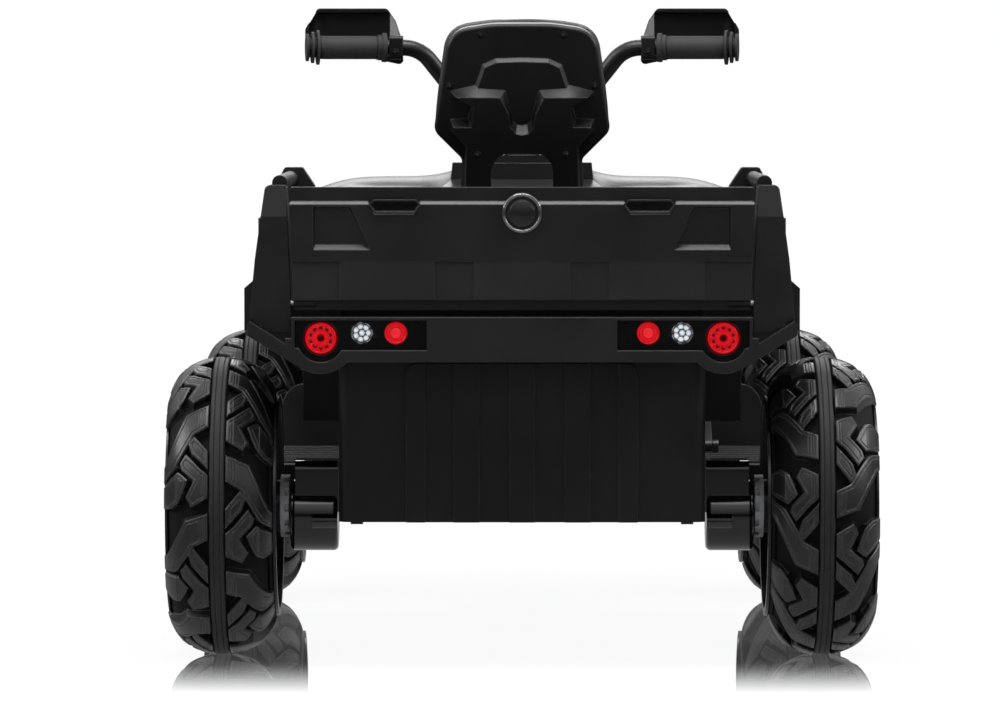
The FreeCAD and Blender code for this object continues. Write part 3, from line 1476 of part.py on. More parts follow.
def pedal_ears():
    """Two ears on the right footboard that hold the pedal's trunnions, with the board clear under the pedal."""
    axis = pedal_axis()
    ears = []
    for side in (-1, 1):
        inner = axis.x + side * (pedal_half_width + pedal_ear_gap)
        outer = inner + side * pedal_ear_width
        radius = pedal_barrel_radius
        low, bend = footboard_top_z - wall / 2, radius - running_clearance
        ear = prism([(axis.y - radius, low), (axis.y - radius, axis.z + radius, bend),
                     (axis.y + radius, axis.z + radius, bend), (axis.y + radius, low)],
                    "side", min(inner, outer), max(inner, outer))
        ears.append(ear)
    return ears


def right_footboard():
    axis = pedal_axis()
    reach = pedal_half_width + pedal_ear_width + 2 * pedal_ear_gap
    room = block(axis.x - reach, axis.x + reach, axis.y - 2 * pedal_barrel_radius,
                 axis.y + pedal_length + pedal_barrel_radius,
                 footboard_top_z, footboard_top_z + footboard_rib_height + overrun)
    bore = rod(pedal_pin_radius + running_clearance, axis - Vector(2 * pedal_half_width, 0, 0),
               axis + Vector(2 * pedal_half_width, 0, 0))
    return footboard().cut(room).fuse(pedal_ears()).cut(bore)


def throttle_pedal():
    axis = pedal_axis()
    barrel = rod(pedal_barrel_radius, axis - Vector(pedal_half_width, 0, 0), axis + Vector(pedal_half_width,
                                                                                           0, 0))
    reach = pedal_half_width + pedal_ear_width
    pin = rod(pedal_pin_radius, axis - Vector(reach, 0, 0), axis + Vector(reach, 0, 0))
    plate = prism([(axis.x - pedal_half_width, axis.y), (axis.x + pedal_half_width, axis.y),
                   (axis.x + pedal_half_width, axis.y + pedal_length, pedal_corner),
                   (axis.x - pedal_half_width, axis.y + pedal_length, pedal_corner)], "plan",
                  axis.z - pedal_thickness / 2, axis.z + pedal_thickness / 2)
    ribs = []
    pitch = pedal_length / (pedal_rib_count + 1)
    for place in range(pedal_rib_count):
        y = axis.y + pitch * (place + 1)
        ribs.append(block(axis.x - pedal_half_width + pedal_corner, axis.x + pedal_half_width - pedal_corner,
                          y,
                          y + pedal_rib_width, axis.z, axis.z + pedal_thickness / 2 + pedal_rib_height))
    plate = plate.fuse(ribs)
    plate.rotate(axis, Vector(1, 0, 0), pedal_angle)
    return barrel.fuse([pin, plate])


def battery():
    floor = tub_bottom_z + wall
    case = block(-battery_half_width, battery_half_width, battery_rear_y, battery_rear_y + battery_length,
                 floor,
                 floor + battery_height)
    case = case.makeFillet(battery_fillet, [edge for edge in case.Edges if edge.BoundBox.ZMin > floor])
    posts = []
    for side in (-1, 1):
        foot = Vector(side * battery_half_width / 2, battery_rear_y + battery_length / 2,
                      floor + battery_height - battery_fillet)
        posts.append(rod(terminal_radius, foot, foot + Vector(0, 0, terminal_height + battery_fillet)))
    return case.fuse(posts)


def front_axle_beam():
    bar = block(-kingpin_x, kingpin_x, front_axle_y - beam_half_depth, front_axle_y + beam_half_depth,
                beam_low_z, beam_high_z)
    foot = column_at(column_low_z)
    housing = block(-bush_radius, bush_radius, foot.y - 2 * bush_radius, front_axle_y + beam_half_depth,
                    beam_low_z, beam_high_z)
    bosses = []
    bores = [rod(column_radius + running_clearance, column_at(column_low_z),
                 column_at(beam_high_z + overrun))]
    for side in (-1, 1):
        low = Vector(side * kingpin_x, front_axle_y, boss_low_z)
        high = Vector(side * kingpin_x, front_axle_y, boss_high_z)
        bosses.append(rod(boss_radius, low, high))
        past = Vector(0, 0, overrun)
        bores.append(rod(kingpin_radius + running_clearance, low - past, high + past))
    return bar.fuse([housing] + bosses).cut(bores)


def knuckle():
    """Bent spindle on the right: kingpin, stub axle and steering arm in one."""
    pin_foot = Vector(kingpin_x, front_axle_y, axle_z)
    arm_low = boss_high_z + arm_rise
    pin = rod(kingpin_radius, pin_foot, Vector(kingpin_x, front_axle_y, arm_low + arm_thickness))
    knee = rod(knee_radius, pin_foot - Vector(0, 0, knee_radius), Vector(kingpin_x, front_axle_y,
                                                                         boss_low_z - knee_gap))
    stub = rod(axle_radius, pin_foot, Vector(wheel_x + axle_end_reach, front_axle_y, axle_z))
    collar = rod(stub_collar_radius, pin_foot, Vector(hub_inner_x - knee_gap, front_axle_y, axle_z))
    arm = prism([(kingpin_x - arm_half_width, front_axle_y + arm_half_width, arm_half_width / 2),
                 (kingpin_x + arm_half_width, front_axle_y + arm_half_width, arm_half_width / 2),
                 (kingpin_x + arm_half_width, front_axle_y - steer_arm - arm_half_width, arm_half_width / 2),
                 (kingpin_x - arm_half_width, front_axle_y - steer_arm - arm_half_width, arm_half_width / 2)],
                "plan", arm_low, arm_low + arm_thickness)
    return pin.fuse([knee, stub, collar, arm])


def tie_hole(side, clearance):
    x = side * kingpin_x
    y = front_axle_y - steer_arm
    return rod(tie_pin_radius + clearance, Vector(x, y, boss_high_z), Vector(x, y, tie_rod_low_z + overrun))


def tie_rod():
    y = front_axle_y - steer_arm
    end = kingpin_x + tie_rod_half_width
    half = tie_rod_half_width
    back = crank_pin_y - crank_slot_half_length - half
    tab = half + crank_slot_half_length
    bar = prism([(-end, y - half, half / 2), (-2 * tab, y - half), (-tab, back, half), (tab, back, half),
                 (2 * tab, y - half),
                 (end, y - half, half / 2), (end, y + half, half / 2), (-end, y + half, half / 2)],
                "plan", tie_rod_low_z, tie_rod_low_z + tie_rod_thickness)
    width = tie_pin_radius + crank_slot_clearance
    slot = prism([(-width, crank_pin_y - crank_slot_half_length, width - running_clearance),
                  (width, crank_pin_y - crank_slot_half_length, width - running_clearance),
                  (width, crank_pin_y + crank_slot_half_length, width - running_clearance),
                  (-width, crank_pin_y + crank_slot_half_length, width - running_clearance)],
                 "plan", tie_rod_low_z - overrun, tie_rod_low_z + tie_rod_thickness + overrun)
    pins = []
    for side in (-1, 1):
        foot = Vector(side * kingpin_x, y, boss_high_z + arm_rise)
        rise = arm_thickness + tie_rod_gap + tie_rod_thickness / 2
        pins.append(rod(tie_pin_radius, foot, foot + Vector(0, 0, rise)))
    return bar.cut(slot).fuse(pins)


def steering_column():
    shaft = rod(column_radius, column_at(column_low_z) + column_axis * overrun,
                column_at(clamp_z - bar_radius - wall))
    centre = crank_pin + column_axis * crank_offset
    root = column_point + column_axis * crank_offset
    half = crank_half_width
    ends = [rod(half, spot - column_axis * (crank_thickness / 2), spot + column_axis * (crank_thickness / 2))
            for spot in (centre, root)]
    web = block(-half, half, -steer_arm, 0, -crank_thickness / 2, crank_thickness / 2)
    web.rotate(Vector(0, 0, 0), Vector(1, 0, 0), column_tilt)
    web.translate(root)
    pin = rod(tie_pin_radius, crank_pin - column_axis * (tie_rod_thickness / 2), centre)
    return shaft.fuse(ends + [web, pin])


def bar_path():
    centre = column_at(clamp_z)
    half = [Vector(bar_centre_half, centre.y, centre.z), Vector(bar_rise_x, bar_bend_y, grip_z),
            Vector(bar_end_x, grip_y, grip_z)]
    return [Vector(-spot.x, spot.y, spot.z) for spot in reversed(half)] + half


def handlebar():
    return tube(bar_path(), bar_radius, bar_bend)


def handlebar_clamp():
    centre = column_at(clamp_z)
    cube = block(-clamp_half_width, clamp_half_width, centre.y - clamp_half_depth,
                 centre.y + clamp_half_depth,
                 centre.z - clamp_height / 2, centre.z + clamp_height / 2)
    cube = cube.makeFillet(clamp_fillet, cube.Edges)
    bar = rod(bar_radius + running_clearance, centre - Vector(2 * clamp_half_width, 0, 0),
              centre + Vector(2 * clamp_half_width, 0, 0))
    shaft = rod(column_radius + running_clearance, column_at(clamp_z - clamp_height), centre)
    return cube.cut([bar, shaft])


def on_bar(shape):
    """Carries a shape drawn along +X, with the bar's bend at x = 0, onto the right end of the handlebar."""
    start = Vector(bar_rise_x, bar_bend_y, grip_z)
    end = Vector(bar_end_x, grip_y, grip_z)
    angle = math.degrees(math.atan2(end.y - start.y, end.x - start.x))
    shape.rotate(Vector(0, 0, 0), Vector(0, 0, 1), angle)
    shape.translate(start)
    return shape


def grip():
    """Grip with two rings at its inner end and three at its outer end, closed over the bar's end."""
    bore = bar_radius + running_clearance
    first = grip_inner_x - bar_rise_x
    last = grip_outer_x - bar_rise_x
    end = (Vector(bar_end_x, grip_y, grip_z) - Vector(bar_rise_x, bar_bend_y, grip_z)).Length
    stop = end + grip_end_wall
    inner_big, inner_small, tube_radius = ring_radii[:3]
    start = first - 2 * ring_width
    profile = [(start, bore), (start, inner_big), (first - ring_width, inner_big), (first - ring_width,
                                                                                    inner_small),
               (first, inner_small), (first, tube_radius), (last, tube_radius)]
    discs = ring_radii[3:]
    step = (stop - last) / (2 * len(discs) - 1)
    x = last
    for place, radius in enumerate(discs):
        profile += [(x, radius), (x + step, radius)]
        if place < len(discs) - 1:
            profile += [(x + step, ring_neck), (x + 2 * step, ring_neck)]
        x += 2 * step
    body = turned(profile + [(stop, 0), (end + running_clearance, 0), (end + running_clearance, bore)])
    return on_bar(body)


def guard_outline():
    """Rear outline of the guard: a shoulder at each upper corner and a web that leans in to the clamp."""
    inner = guard_inner_x + guard_web_lean
    return prism([(guard_inner_x, guard_low_z, guard_corner), (guard_outer_x, guard_low_z + guard_drop,
                                                               guard_corner),
                  (guard_outer_x, guard_top_z - guard_shoulder, guard_corner),
                  (guard_outer_x - guard_shoulder_width, guard_top_z, guard_corner),
                  (inner + guard_web_lean, guard_top_z, guard_corner),
                  (inner, guard_top_z - guard_shoulder_width, guard_corner),
                  (guard_inner_x + guard_wall / 2, grip_z + guard_web_rise)], "rear", 0, half_length)


def hand_guard():
    """Shield round the front of the right grip, on a clamp inboard of it."""
    inner = guard_inner_x + guard_clamp_width / 2
    front = grip_y + guard_reach
    shape = guard_outline()
    shield = guard_band(inner, front).common(shape)
    back = front - guard_visor
    visor = prism([(guard_inner_x, back), (guard_outer_x - guard_wall, back, guard_corner / 2),
                   (guard_outer_x - guard_wall, front - guard_wall, guard_corner / 2),
                   (guard_inner_x, front - guard_wall)],
                  "plan", guard_top_z - guard_wall, guard_top_z).common(shape)
    centre_y = bar_y(inner)
    half = guard_clamp_half
    right = guard_inner_x + guard_clamp_width
    clamp = prism([(centre_y - half, grip_z - half, guard_clamp_fillet),
                   (centre_y + half, grip_z - half, guard_clamp_fillet),
                   (centre_y + half, grip_z + half, guard_clamp_fillet),
                   (centre_y - half, grip_z + half, guard_clamp_fillet)], "side", guard_inner_x, right)
    web = prism([(centre_y - guard_web_half, grip_z), (centre_y + guard_web_half, grip_z),
                 (back + 2 * guard_web_half, guard_top_z), (back, guard_top_z)],
                "side", guard_inner_x, right).common(shape)
    arm = block(guard_inner_x, right, centre_y, front - guard_wall / 2, grip_z - guard_wall,
                grip_z + guard_wall)
    bore = rod(bar_radius + running_clearance, Vector(bar_rise_x, bar_bend_y, grip_z), Vector(bar_end_x,
                                                                                              grip_y, grip_z))
    return shield.fuse([visor, clamp, arm, web]).cut(bore)


def bar_y(x):
    return blend(bar_bend_y, grip_y, (x - bar_rise_x) / (bar_end_x - bar_rise_x))


def guard_band(inner, front):
    """Upright band, bent in plan: across the front of the hand and back beside the bar's end."""
    outer = guard_outer_x
    back = front - guard_return
    return prism([(guard_inner_x, front - guard_wall), (guard_inner_x, front), (outer, front, guard_bend),
                  (outer, back),
                  (outer - guard_wall, back), (outer - guard_wall, front - guard_wall,
                                               guard_bend - guard_wall)],
                 "plan", guard_low_z - overrun, guard_top_z + overrun)


def dash_control_y():
    return blend(dash_rear_y, dash_front_y, control_y_share)


def dash_panel():
    slab = prism([(-dash_half_width, dash_rear_y, dash_corner), (dash_half_width, dash_rear_y, dash_corner),
                  (dash_half_width, dash_front_y, dash_corner), (-dash_half_width, dash_front_y,
                                                                 dash_corner)],
                 "plan", cowl_top_z, cowl_top_z + dash_high_height)
    slope = prism([(dash_rear_y - overrun, cowl_top_z), (dash_rear_y - overrun, cowl_top_z + dash_low_height),
                   (dash_front_y + overrun, cowl_top_z + dash_high_height), (dash_front_y + overrun,
                                                                             cowl_top_z)],
                  "side", -overall_width, overall_width)
    y = dash_control_y()
    floor = cowl_top_z + dash_floor
    top = cowl_top_z + dash_high_height + overrun
    well = rod(button_radius + button_travel_gap, Vector(button_x, y, floor), Vector(button_x, y, top))
    slot = block(switch_x - switch_half_width - switch_gap, switch_x + switch_half_width + switch_gap,
                 y - switch_half_length - switch_gap, y + switch_half_length + switch_gap, floor, top)
    pivot = switch_pivot(switch_half_width + 2 * switch_gap + wall, switch_pivot_radius + running_clearance)
    return slab.common(slope).cut([well, slot]).fuse(gauge_pod()).cut(pivot)


def gauge_pod():
    """Raised pod at the dash's rear edge with an oval well in its rear face."""
    middle = cowl_top_z + oval_height + wall / 2
    shapes = []
    for grow, y0, y1 in ((pod_margin, 0, pod_depth), (0, -overrun, oval_depth)):
        wide, tall = oval_half_width + grow, oval_height + grow
        corner = tall - running_clearance
        shapes.append(prism([(-wide, middle - tall, corner), (wide, middle - tall, corner),
                             (wide, middle + tall, corner),
                             (-wide, middle + tall, corner)], "rear", dash_rear_y + y0, dash_rear_y + y1))
    return shapes[0].cut(shapes[1]).cut(block(-dash_half_width, dash_half_width, 0, half_length, 0,
                                              cowl_top_z))


def dash_face_z():
    return cowl_top_z + blend(dash_low_height, dash_high_height, control_y_share)


def switch_pivot(reach, radius):
    spot = Vector(switch_x, dash_control_y(), dash_face_z() - switch_pivot_drop)
    return rod(radius, spot - Vector(reach, 0, 0), spot + Vector(reach, 0, 0))


def power_button():
    y = dash_control_y()
    top = dash_face_z() + button_proud
    cap = rod(button_radius, Vector(button_x, y, top - button_depth), Vector(button_x, y, top))
    return rounded(cap, button_fillet, lambda edge: edge.BoundBox.ZMin > top - running_clearance)


def direction_switch():
    y = dash_control_y()
    spot_z = dash_face_z() - switch_pivot_drop
    top = dash_face_z() + switch_proud
    rocker = prism([(y - switch_half_length, top), (y, top - switch_proud / 2), (y + switch_half_length, top),
                    (y + switch_half_length * switch_foot_share, spot_z - switch_pivot_radius - wall / 2),
                    (y - switch_half_length * switch_foot_share, spot_z - switch_pivot_radius - wall / 2)],
                   "side", switch_x - switch_half_width, switch_x + switch_half_width)
    return rocker.fuse(switch_pivot(switch_half_width + switch_gap + wall / 2, switch_pivot_radius))


def build():
    rail, guard, hand = grab_rail(), hand_guard(), grip()
    drive, motor, spindle = gearbox(), drive_motor(), knuckle()
    parts = wheels()
    parts.update({
        "chassis_tub": chassis_tub(), "rear_body": rear_body(), "saddle_body": saddle_body(),
                  "front_body": front_body(),
        "footboard_left": mirrored(footboard()), "footboard_right": right_footboard(),
        "rear_bumper": rear_bumper(), "lamp_panels": lamp_panels(),
        "tailgate": tailgate(), "tailgate_badge": tailgate_badge(), "tailgate_pins": tailgate_pins(),
        "grab_rail_left": mirrored(rail), "grab_rail_right": rail,
        "backrest_shell": backrest_shell(), "backrest_pad": backrest_pad(), "seat_pad": seat_pad(),
        "rear_axle": rear_axle(), "gearbox_left": mirrored(drive), "gearbox_right": drive,
                  "drive_motors": pair(motor),
        "battery": battery(), "front_bumper": front_bumper(), "front_grille": front_grille(),
        "headlamp_lenses": headlamp_lenses(), "front_axle_beam": front_axle_beam(),
        "knuckle_left": mirrored(spindle).cut(tie_hole(-1, tie_pin_clearance)),
        "knuckle_right": spindle.cut(tie_hole(1, tie_open_clearance)),
        "tie_rod": tie_rod(), "steering_column": steering_column(), "handlebar": handlebar(),
        "handlebar_clamp": handlebar_clamp(), "grip_left": mirrored(hand), "grip_right": hand,
        "hand_guard_left": mirrored(guard), "hand_guard_right": guard,
        "dash_panel": dash_panel(), "power_button": power_button(), "direction_switch": direction_switch(),
        "throttle_pedal": throttle_pedal(),
    })
    for name, (x, z, radius) in lamp_places.items():
        parts[name] = lamp_lenses(x, z, radius)
    return parts


os.makedirs("parts", exist_ok=True)
for name, shape in build().items():
    shape.exportStep(f"parts/{name}.step")
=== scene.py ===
import json
import math
import bpy
import bmesh
import numpy as np
from mathutils import Matrix, Vector


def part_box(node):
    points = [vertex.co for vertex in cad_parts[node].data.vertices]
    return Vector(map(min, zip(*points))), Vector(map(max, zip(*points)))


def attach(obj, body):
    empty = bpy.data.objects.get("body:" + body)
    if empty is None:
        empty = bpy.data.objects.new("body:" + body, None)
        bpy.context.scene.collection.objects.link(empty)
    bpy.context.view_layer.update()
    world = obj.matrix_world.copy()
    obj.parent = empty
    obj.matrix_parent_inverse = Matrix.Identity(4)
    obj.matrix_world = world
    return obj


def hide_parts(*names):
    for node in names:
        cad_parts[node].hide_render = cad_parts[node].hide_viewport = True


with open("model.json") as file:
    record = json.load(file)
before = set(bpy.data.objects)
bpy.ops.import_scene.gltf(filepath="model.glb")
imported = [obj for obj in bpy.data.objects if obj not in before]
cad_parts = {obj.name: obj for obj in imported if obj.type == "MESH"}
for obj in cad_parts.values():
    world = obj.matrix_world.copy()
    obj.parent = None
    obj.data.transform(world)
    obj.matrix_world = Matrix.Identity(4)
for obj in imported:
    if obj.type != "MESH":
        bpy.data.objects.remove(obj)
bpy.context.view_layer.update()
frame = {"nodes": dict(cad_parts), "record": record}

nodes = frame["nodes"]
bodyOf = {name: body for body, names in frame["record"]["behaviour"]["bodies"].items() for name in names}
slotOf = {part["node"]: part["material_slot"] for part in frame["record"]["subparts"]}
print("frame loaded:", len(nodes), "nodes")


# Camera: a long lens straight behind the machine
shot = {"place": (0.0, -6.365, 0.571), "target": (-0.0222, -0.365, 0.3036), "lens": 214.5, "sensor": 36.0}


def makeCamera():
    data = bpy.data.cameras.new("camera")
    data.lens = shot["lens"]
    data.sensor_width = shot["sensor"]
    data.clip_start = 0.1
    data.clip_end = 80.0
    camera = bpy.data.objects.new("camera", data)
    bpy.context.scene.collection.objects.link(camera)
    camera.location = shot["place"]
    look = Vector(shot["target"]) - Vector(shot["place"])
    camera.rotation_mode = "QUATERNION"
    camera.rotation_quaternion = look.to_track_quat("-Z", "Y")
    bpy.context.scene.camera = camera


makeCamera()


# Small helpers used all through
def newMaterial(name):
    material = bpy.data.materials.new(name)
    material.use_nodes = True
    tree = material.node_tree
    tree.nodes.clear()
    return material, tree


def addNode(tree, kind, place, **values):
    node = tree.nodes.new(kind)
    node.location = place
    for key, value in values.items():
        setattr(node, key, value)
    return node


def setInputs(node, **values):
    for key, value in values.items():
        node.inputs[key.replace("_", " ")].default_value = value


def pick(obj):
    bpy.ops.object.select_all(action="DESELECT")
    obj.select_set(True)
    bpy.context.view_layer.objects.active = obj


def editMode(obj, kind="FACE"):
    pick(obj)
    bpy.ops.object.mode_set(mode="EDIT")
    bpy.ops.mesh.select_mode(type=kind)
    bpy.ops.mesh.select_all(action="DESELECT")


def objectMode():
    bpy.ops.object.mode_set(mode="OBJECT")


def choose(obj, kind, test):
    # kind is verts, edges or faces
    mesh = bmesh.from_edit_mesh(obj.data)
    for item in getattr(mesh, kind):
        item.select = bool(test(item))
    mesh.select_flush_mode()
    bmesh.update_edit_mesh(obj.data)


def outward(obj):
    editMode(obj)
    bpy.ops.mesh.select_all(action="SELECT")
    bpy.ops.mesh.remove_doubles(threshold=0.00002)
    bpy.ops.mesh.normals_make_consistent(inside=False)
    objectMode()


def smooth(obj, angle=32):
    pick(obj)
    bpy.ops.object.shade_smooth_by_angle(angle=math.radians(angle))


def addModifier(obj, kind, **values):
    modifier = obj.modifiers.new(kind.lower(), kind)
    for key, value in values.items():
        setattr(modifier, key, value)
    return modifier


def applyModifiers(obj):
    pick(obj)
    for modifier in list(obj.modifiers):
        bpy.ops.object.modifier_apply(modifier=modifier.name)


def settle(obj):
    pick(obj)
    bpy.ops.object.transform_apply(location=True, rotation=True, scale=True)


def copyOf(obj, name, matrix=None):
    twin = obj.copy()
    twin.data = obj.data.copy()
    twin.name = name
    bpy.context.scene.collection.objects.link(twin)
    if matrix is not None:
        twin.data.transform(matrix)
        if matrix.determinant() < 0:
            twin.data.flip_normals()
    return twin


def joined(parts, name):
    bpy.ops.object.select_all(action="DESELECT")
    for part in parts:
        part.select_set(True)
    bpy.context.view_layer.objects.active = parts[0]
    bpy.ops.object.join()
    parts[0].name = name
    return parts[0]


def dress(obj, *materials):
    obj.data.materials.clear()
    for material in materials:
        obj.data.materials.append(material)


def newObject(name, mesh):
    obj = bpy.data.objects.new(name, mesh)
    bpy.context.scene.collection.objects.link(obj)
    return obj


def spun(name, profile, steps=96, angle=32):
    # profile of (x, radius) pairs turned about the X axis
    mesh = bpy.data.meshes.new(name)
    mesh.from_pydata([(x, 0, r) for x, r in profile], [(i, i + 1) for i in range(len(profile) - 1)], [])
    obj = newObject(name, mesh)
    editMode(obj, "VERT")
    bpy.ops.mesh.select_all(action="SELECT")
    bpy.ops.mesh.spin(steps=steps, angle=math.tau, center=(0, 0, 0), axis=(1, 0, 0))
    objectMode()
    outward(obj)
    smooth(obj, angle)
    return obj


def slab(name, outline, sign, start, end):
    # an outline of (x, z) pairs seen from behind, carried from one depth to another
    mesh = bpy.data.meshes.new(name)
    mesh.from_pydata([(sign * x, start, z) for x, z in outline], [], [tuple(range(len(outline)))])
    piece = newObject(name, mesh)
    editMode(piece)
    bpy.ops.mesh.select_all(action="SELECT")
    bpy.ops.mesh.extrude_region_move(TRANSFORM_OT_translate={"value": (0, end - start, 0)})
    objectMode()
    outward(piece)
    return piece


def mirrorX():
    return Matrix.Scale(-1, 4, (1, 0, 0))


# Stage: white mirror floor that fades out in front, soft boxes overhead, pale world
studio = {
    "floorSize": 80.0, "floorColour": (0.86, 0.86, 0.87, 1),
    # near and far levels, and the distances between which they change
    "floorGlow": (0.50, 1.3), "glowReach": (0.9, 4.0), "floorGloss": (0.40, 0.05), "glossReach": (0.9, 5.0),
    "mirror": 0.93, "fadeStart": -0.46, "fadeEnd": -1.0,
    "horizonGlow": 0.02, "zenithGlow": 0.9, "fill": 0.30,
    "boxes": [
        # name, place, target, size, watts
        ("topBox", (0.0, -0.7, 2.7), (0.0, -0.2, 0.4), (2.2, 1.1), 62),
        ("rearBox", (0.0, -3.6, 3.0), (0.0, -0.4, 0.35), (3.0, 0.7), 10),
        ("leftBox", (-3.0, -0.6, 1.9), (0.0, -0.1, 0.3), (2.4, 1.0), 44),
        ("rightBox", (3.0, -0.6, 1.9), (0.0, -0.1, 0.3), (2.4, 1.0), 44),
        ("frontBox", (0.0, 3.6, 2.4), (0.0, 0.4, 0.35), (3.0, 1.0), 48),
    ],
}


def backdropRays(tree, place):
    # 1 for rays that see the white backdrop: from the camera, off a mirror, through glass
    path = addNode(tree, "ShaderNodeLightPath", place)
    first = addNode(tree, "ShaderNodeMath", (place[0] + 180, place[1]), operation="MAXIMUM")
    both = addNode(tree, "ShaderNodeMath", (place[0] + 360, place[1]), operation="MAXIMUM")
    tree.links.new(path.outputs["Is Camera Ray"], first.inputs[0])
    tree.links.new(path.outputs["Is Singular Ray"], first.inputs[1])
    tree.links.new(first.outputs[0], both.inputs[0])
    tree.links.new(path.outputs["Is Transmission Ray"], both.inputs[1])
    return path, both.outputs[0]


def mixValue(tree, place, factor, low, high):
    mix = addNode(tree, "ShaderNodeMix", place, data_type="FLOAT")
    for socket, value in ((mix.inputs[0], factor), (mix.inputs[2], low), (mix.inputs[3], high)):
        if isinstance(value, float):
            socket.default_value = value
        else:
            tree.links.new(value, socket)
    return mix.outputs[0]


def makeFloor():
    bpy.ops.object.select_all(action="DESELECT")
    bpy.ops.mesh.primitive_plane_add(size=studio["floorSize"], location=(0, 0, 0))
    floor = bpy.context.object
    floor.name = "floor"
    material, tree = newMaterial("whiteFloor")
    link = tree.links.new
    path, white = backdropRays(tree, (-1100, 300))
    matt = addNode(tree, "ShaderNodeBsdfDiffuse", (-300, 0))
    setInputs(matt, Color=studio["floorColour"])
    glow = addNode(tree, "ShaderNodeEmission", (-300, 200))
    coord = addNode(tree, "ShaderNodeTexCoord", (-1100, -300))
    away = addNode(tree, "ShaderNodeVectorMath", (-900, -100), operation="LENGTH")
    link(coord.outputs["Object"], away.inputs[0])
    even = addNode(tree, "ShaderNodeMapRange", (-700, -100))
    setInputs(even, From_Min=studio["glowReach"][0], From_Max=studio["glowReach"][1],
              To_Min=studio["floorGlow"][0], To_Max=studio["floorGlow"][1])
    link(away.outputs["Value"], even.inputs["Value"])
    glowing = addNode(tree, "ShaderNodeMath", (-500, 200), operation="MULTIPLY")
    link(white, glowing.inputs[0])
    link(even.outputs[0], glowing.inputs[1])
    link(glowing.outputs[0], glow.inputs["Strength"])
    lit = addNode(tree, "ShaderNodeAddShader", (-100, 100))
    link(glow.outputs[0], lit.inputs[0])
    link(matt.outputs[0], lit.inputs[1])
    # mirror under the machine, gone where the floor runs to the front of the picture
    apart = addNode(tree, "ShaderNodeSeparateXYZ", (-700, -300))
    link(coord.outputs["Object"], apart.inputs[0])
    fade = addNode(tree, "ShaderNodeMapRange", (-500, -300), interpolation_type="SMOOTHSTEP")
    setInputs(fade, From_Min=studio["fadeEnd"], From_Max=studio["fadeStart"], To_Min=0.0, To_Max=studio["mirror"])
    link(apart.outputs["Y"], fade.inputs["Value"])
    # strong only where the floor is looked along
    facing = addNode(tree, "ShaderNodeLayerWeight", (-700, -550))
    setInputs(facing, Blend=0.5)
    graze = addNode(tree, "ShaderNodeMapRange", (-500, -550))
    setInputs(graze, From_Min=0.62, From_Max=0.90, To_Min=0.10, To_Max=1.0)
    link(facing.outputs["Facing"], graze.inputs["Value"])
    seen = addNode(tree, "ShaderNodeMath", (-300, -300), operation="MULTIPLY")
    link(fade.outputs[0], seen.inputs[0])
    link(graze.outputs[0], seen.inputs[1])
    primary = addNode(tree, "ShaderNodeMath", (-200, -400), operation="MULTIPLY")
    link(seen.outputs[0], primary.inputs[0])
    link(path.outputs["Is Camera Ray"], primary.inputs[1])
    mirror = addNode(tree, "ShaderNodeBsdfGlossy", (-100, -200))
    setInputs(mirror, Color=(0.97, 0.97, 0.98, 1), Roughness=0.0)
    mix = addNode(tree, "ShaderNodeMixShader", (100, 0))
    link(primary.outputs[0], mix.inputs[0])
    link(lit.outputs[0], mix.inputs[1])
    link(mirror.outputs[0], mix.inputs[2])
    # soft gloss on the machine sees a floor that darkens with distance
    near = addNode(tree, "ShaderNodeMapRange", (-100, -700))
    setInputs(near, From_Min=studio["glossReach"][0], From_Max=studio["glossReach"][1],
              To_Min=studio["floorGloss"][0], To_Max=studio["floorGloss"][1])
    link(away.outputs["Value"], near.inputs["Value"])
    dim = addNode(tree, "ShaderNodeEmission", (100, -300))
    link(near.outputs[0], dim.inputs["Strength"])
    soft = addNode(tree, "ShaderNodeMath", (-100, 400), operation="SUBTRACT", use_clamp=True)
    link(path.outputs["Is Glossy Ray"], soft.inputs[0])
    link(white, soft.inputs[1])
    whole = addNode(tree, "ShaderNodeMixShader", (300, 0))
    link(soft.outputs[0], whole.inputs[0])
    link(mix.outputs[0], whole.inputs[1])
    link(dim.outputs[0], whole.inputs[2])
    out = addNode(tree, "ShaderNodeOutputMaterial", (500, 0))
    link(whole.outputs[0], out.inputs[0])
    floor.data.materials.append(material)


def makeLights():
    for name, place, target, size, watts in studio["boxes"]:
        data = bpy.data.lights.new(name, "AREA")
        data.shape = "RECTANGLE"
        data.size, data.size_y = size
        data.energy = watts
        lamp = bpy.data.objects.new(name, data)
        bpy.context.scene.collection.objects.link(lamp)
        lamp.location = place
        lamp.rotation_mode = "QUATERNION"
        lamp.rotation_quaternion = (Vector(target) - Vector(place)).to_track_quat("-Z", "Y")


def makeWorld():
    world = bpy.data.worlds.new("studio")
    bpy.context.scene.world = world
    world.use_nodes = True
    tree = world.node_tree
    tree.nodes.clear()
    link = tree.links.new
    path, white = backdropRays(tree, (-1200, 400))
    # soft gloss sees a room that is brighter overhead than at eye level
    coord = addNode(tree, "ShaderNodeTexCoord", (-1200, 0))
    apart = addNode(tree, "ShaderNodeSeparateXYZ", (-1000, 0))
    link(coord.outputs["Generated"], apart.inputs[0])
    rise = addNode(tree, "ShaderNodeMapRange", (-800, 0))
    setInputs(rise, From_Min=0.02, From_Max=0.5, To_Min=studio["horizonGlow"], To_Max=studio["zenithGlow"])
    link(apart.outputs["Z"], rise.inputs["Value"])
    room = mixValue(tree, (-600, 100), path.outputs["Is Glossy Ray"], studio["fill"], rise.outputs[0])
    level = mixValue(tree, (-400, 200), white, room, 1.0)
    backdrop = addNode(tree, "ShaderNodeBackground", (-200, 100))
    setInputs(backdrop, Color=(1, 1, 1, 1))
    link(level, backdrop.inputs["Strength"])
    out = addNode(tree, "ShaderNodeOutputWorld", (0, 100))
    link(backdrop.outputs[0], out.inputs[0])


makeFloor()
makeLights()
makeWorld()
bpy.context.scene.view_settings.view_transform = "Standard"
print("camera and stage ready")


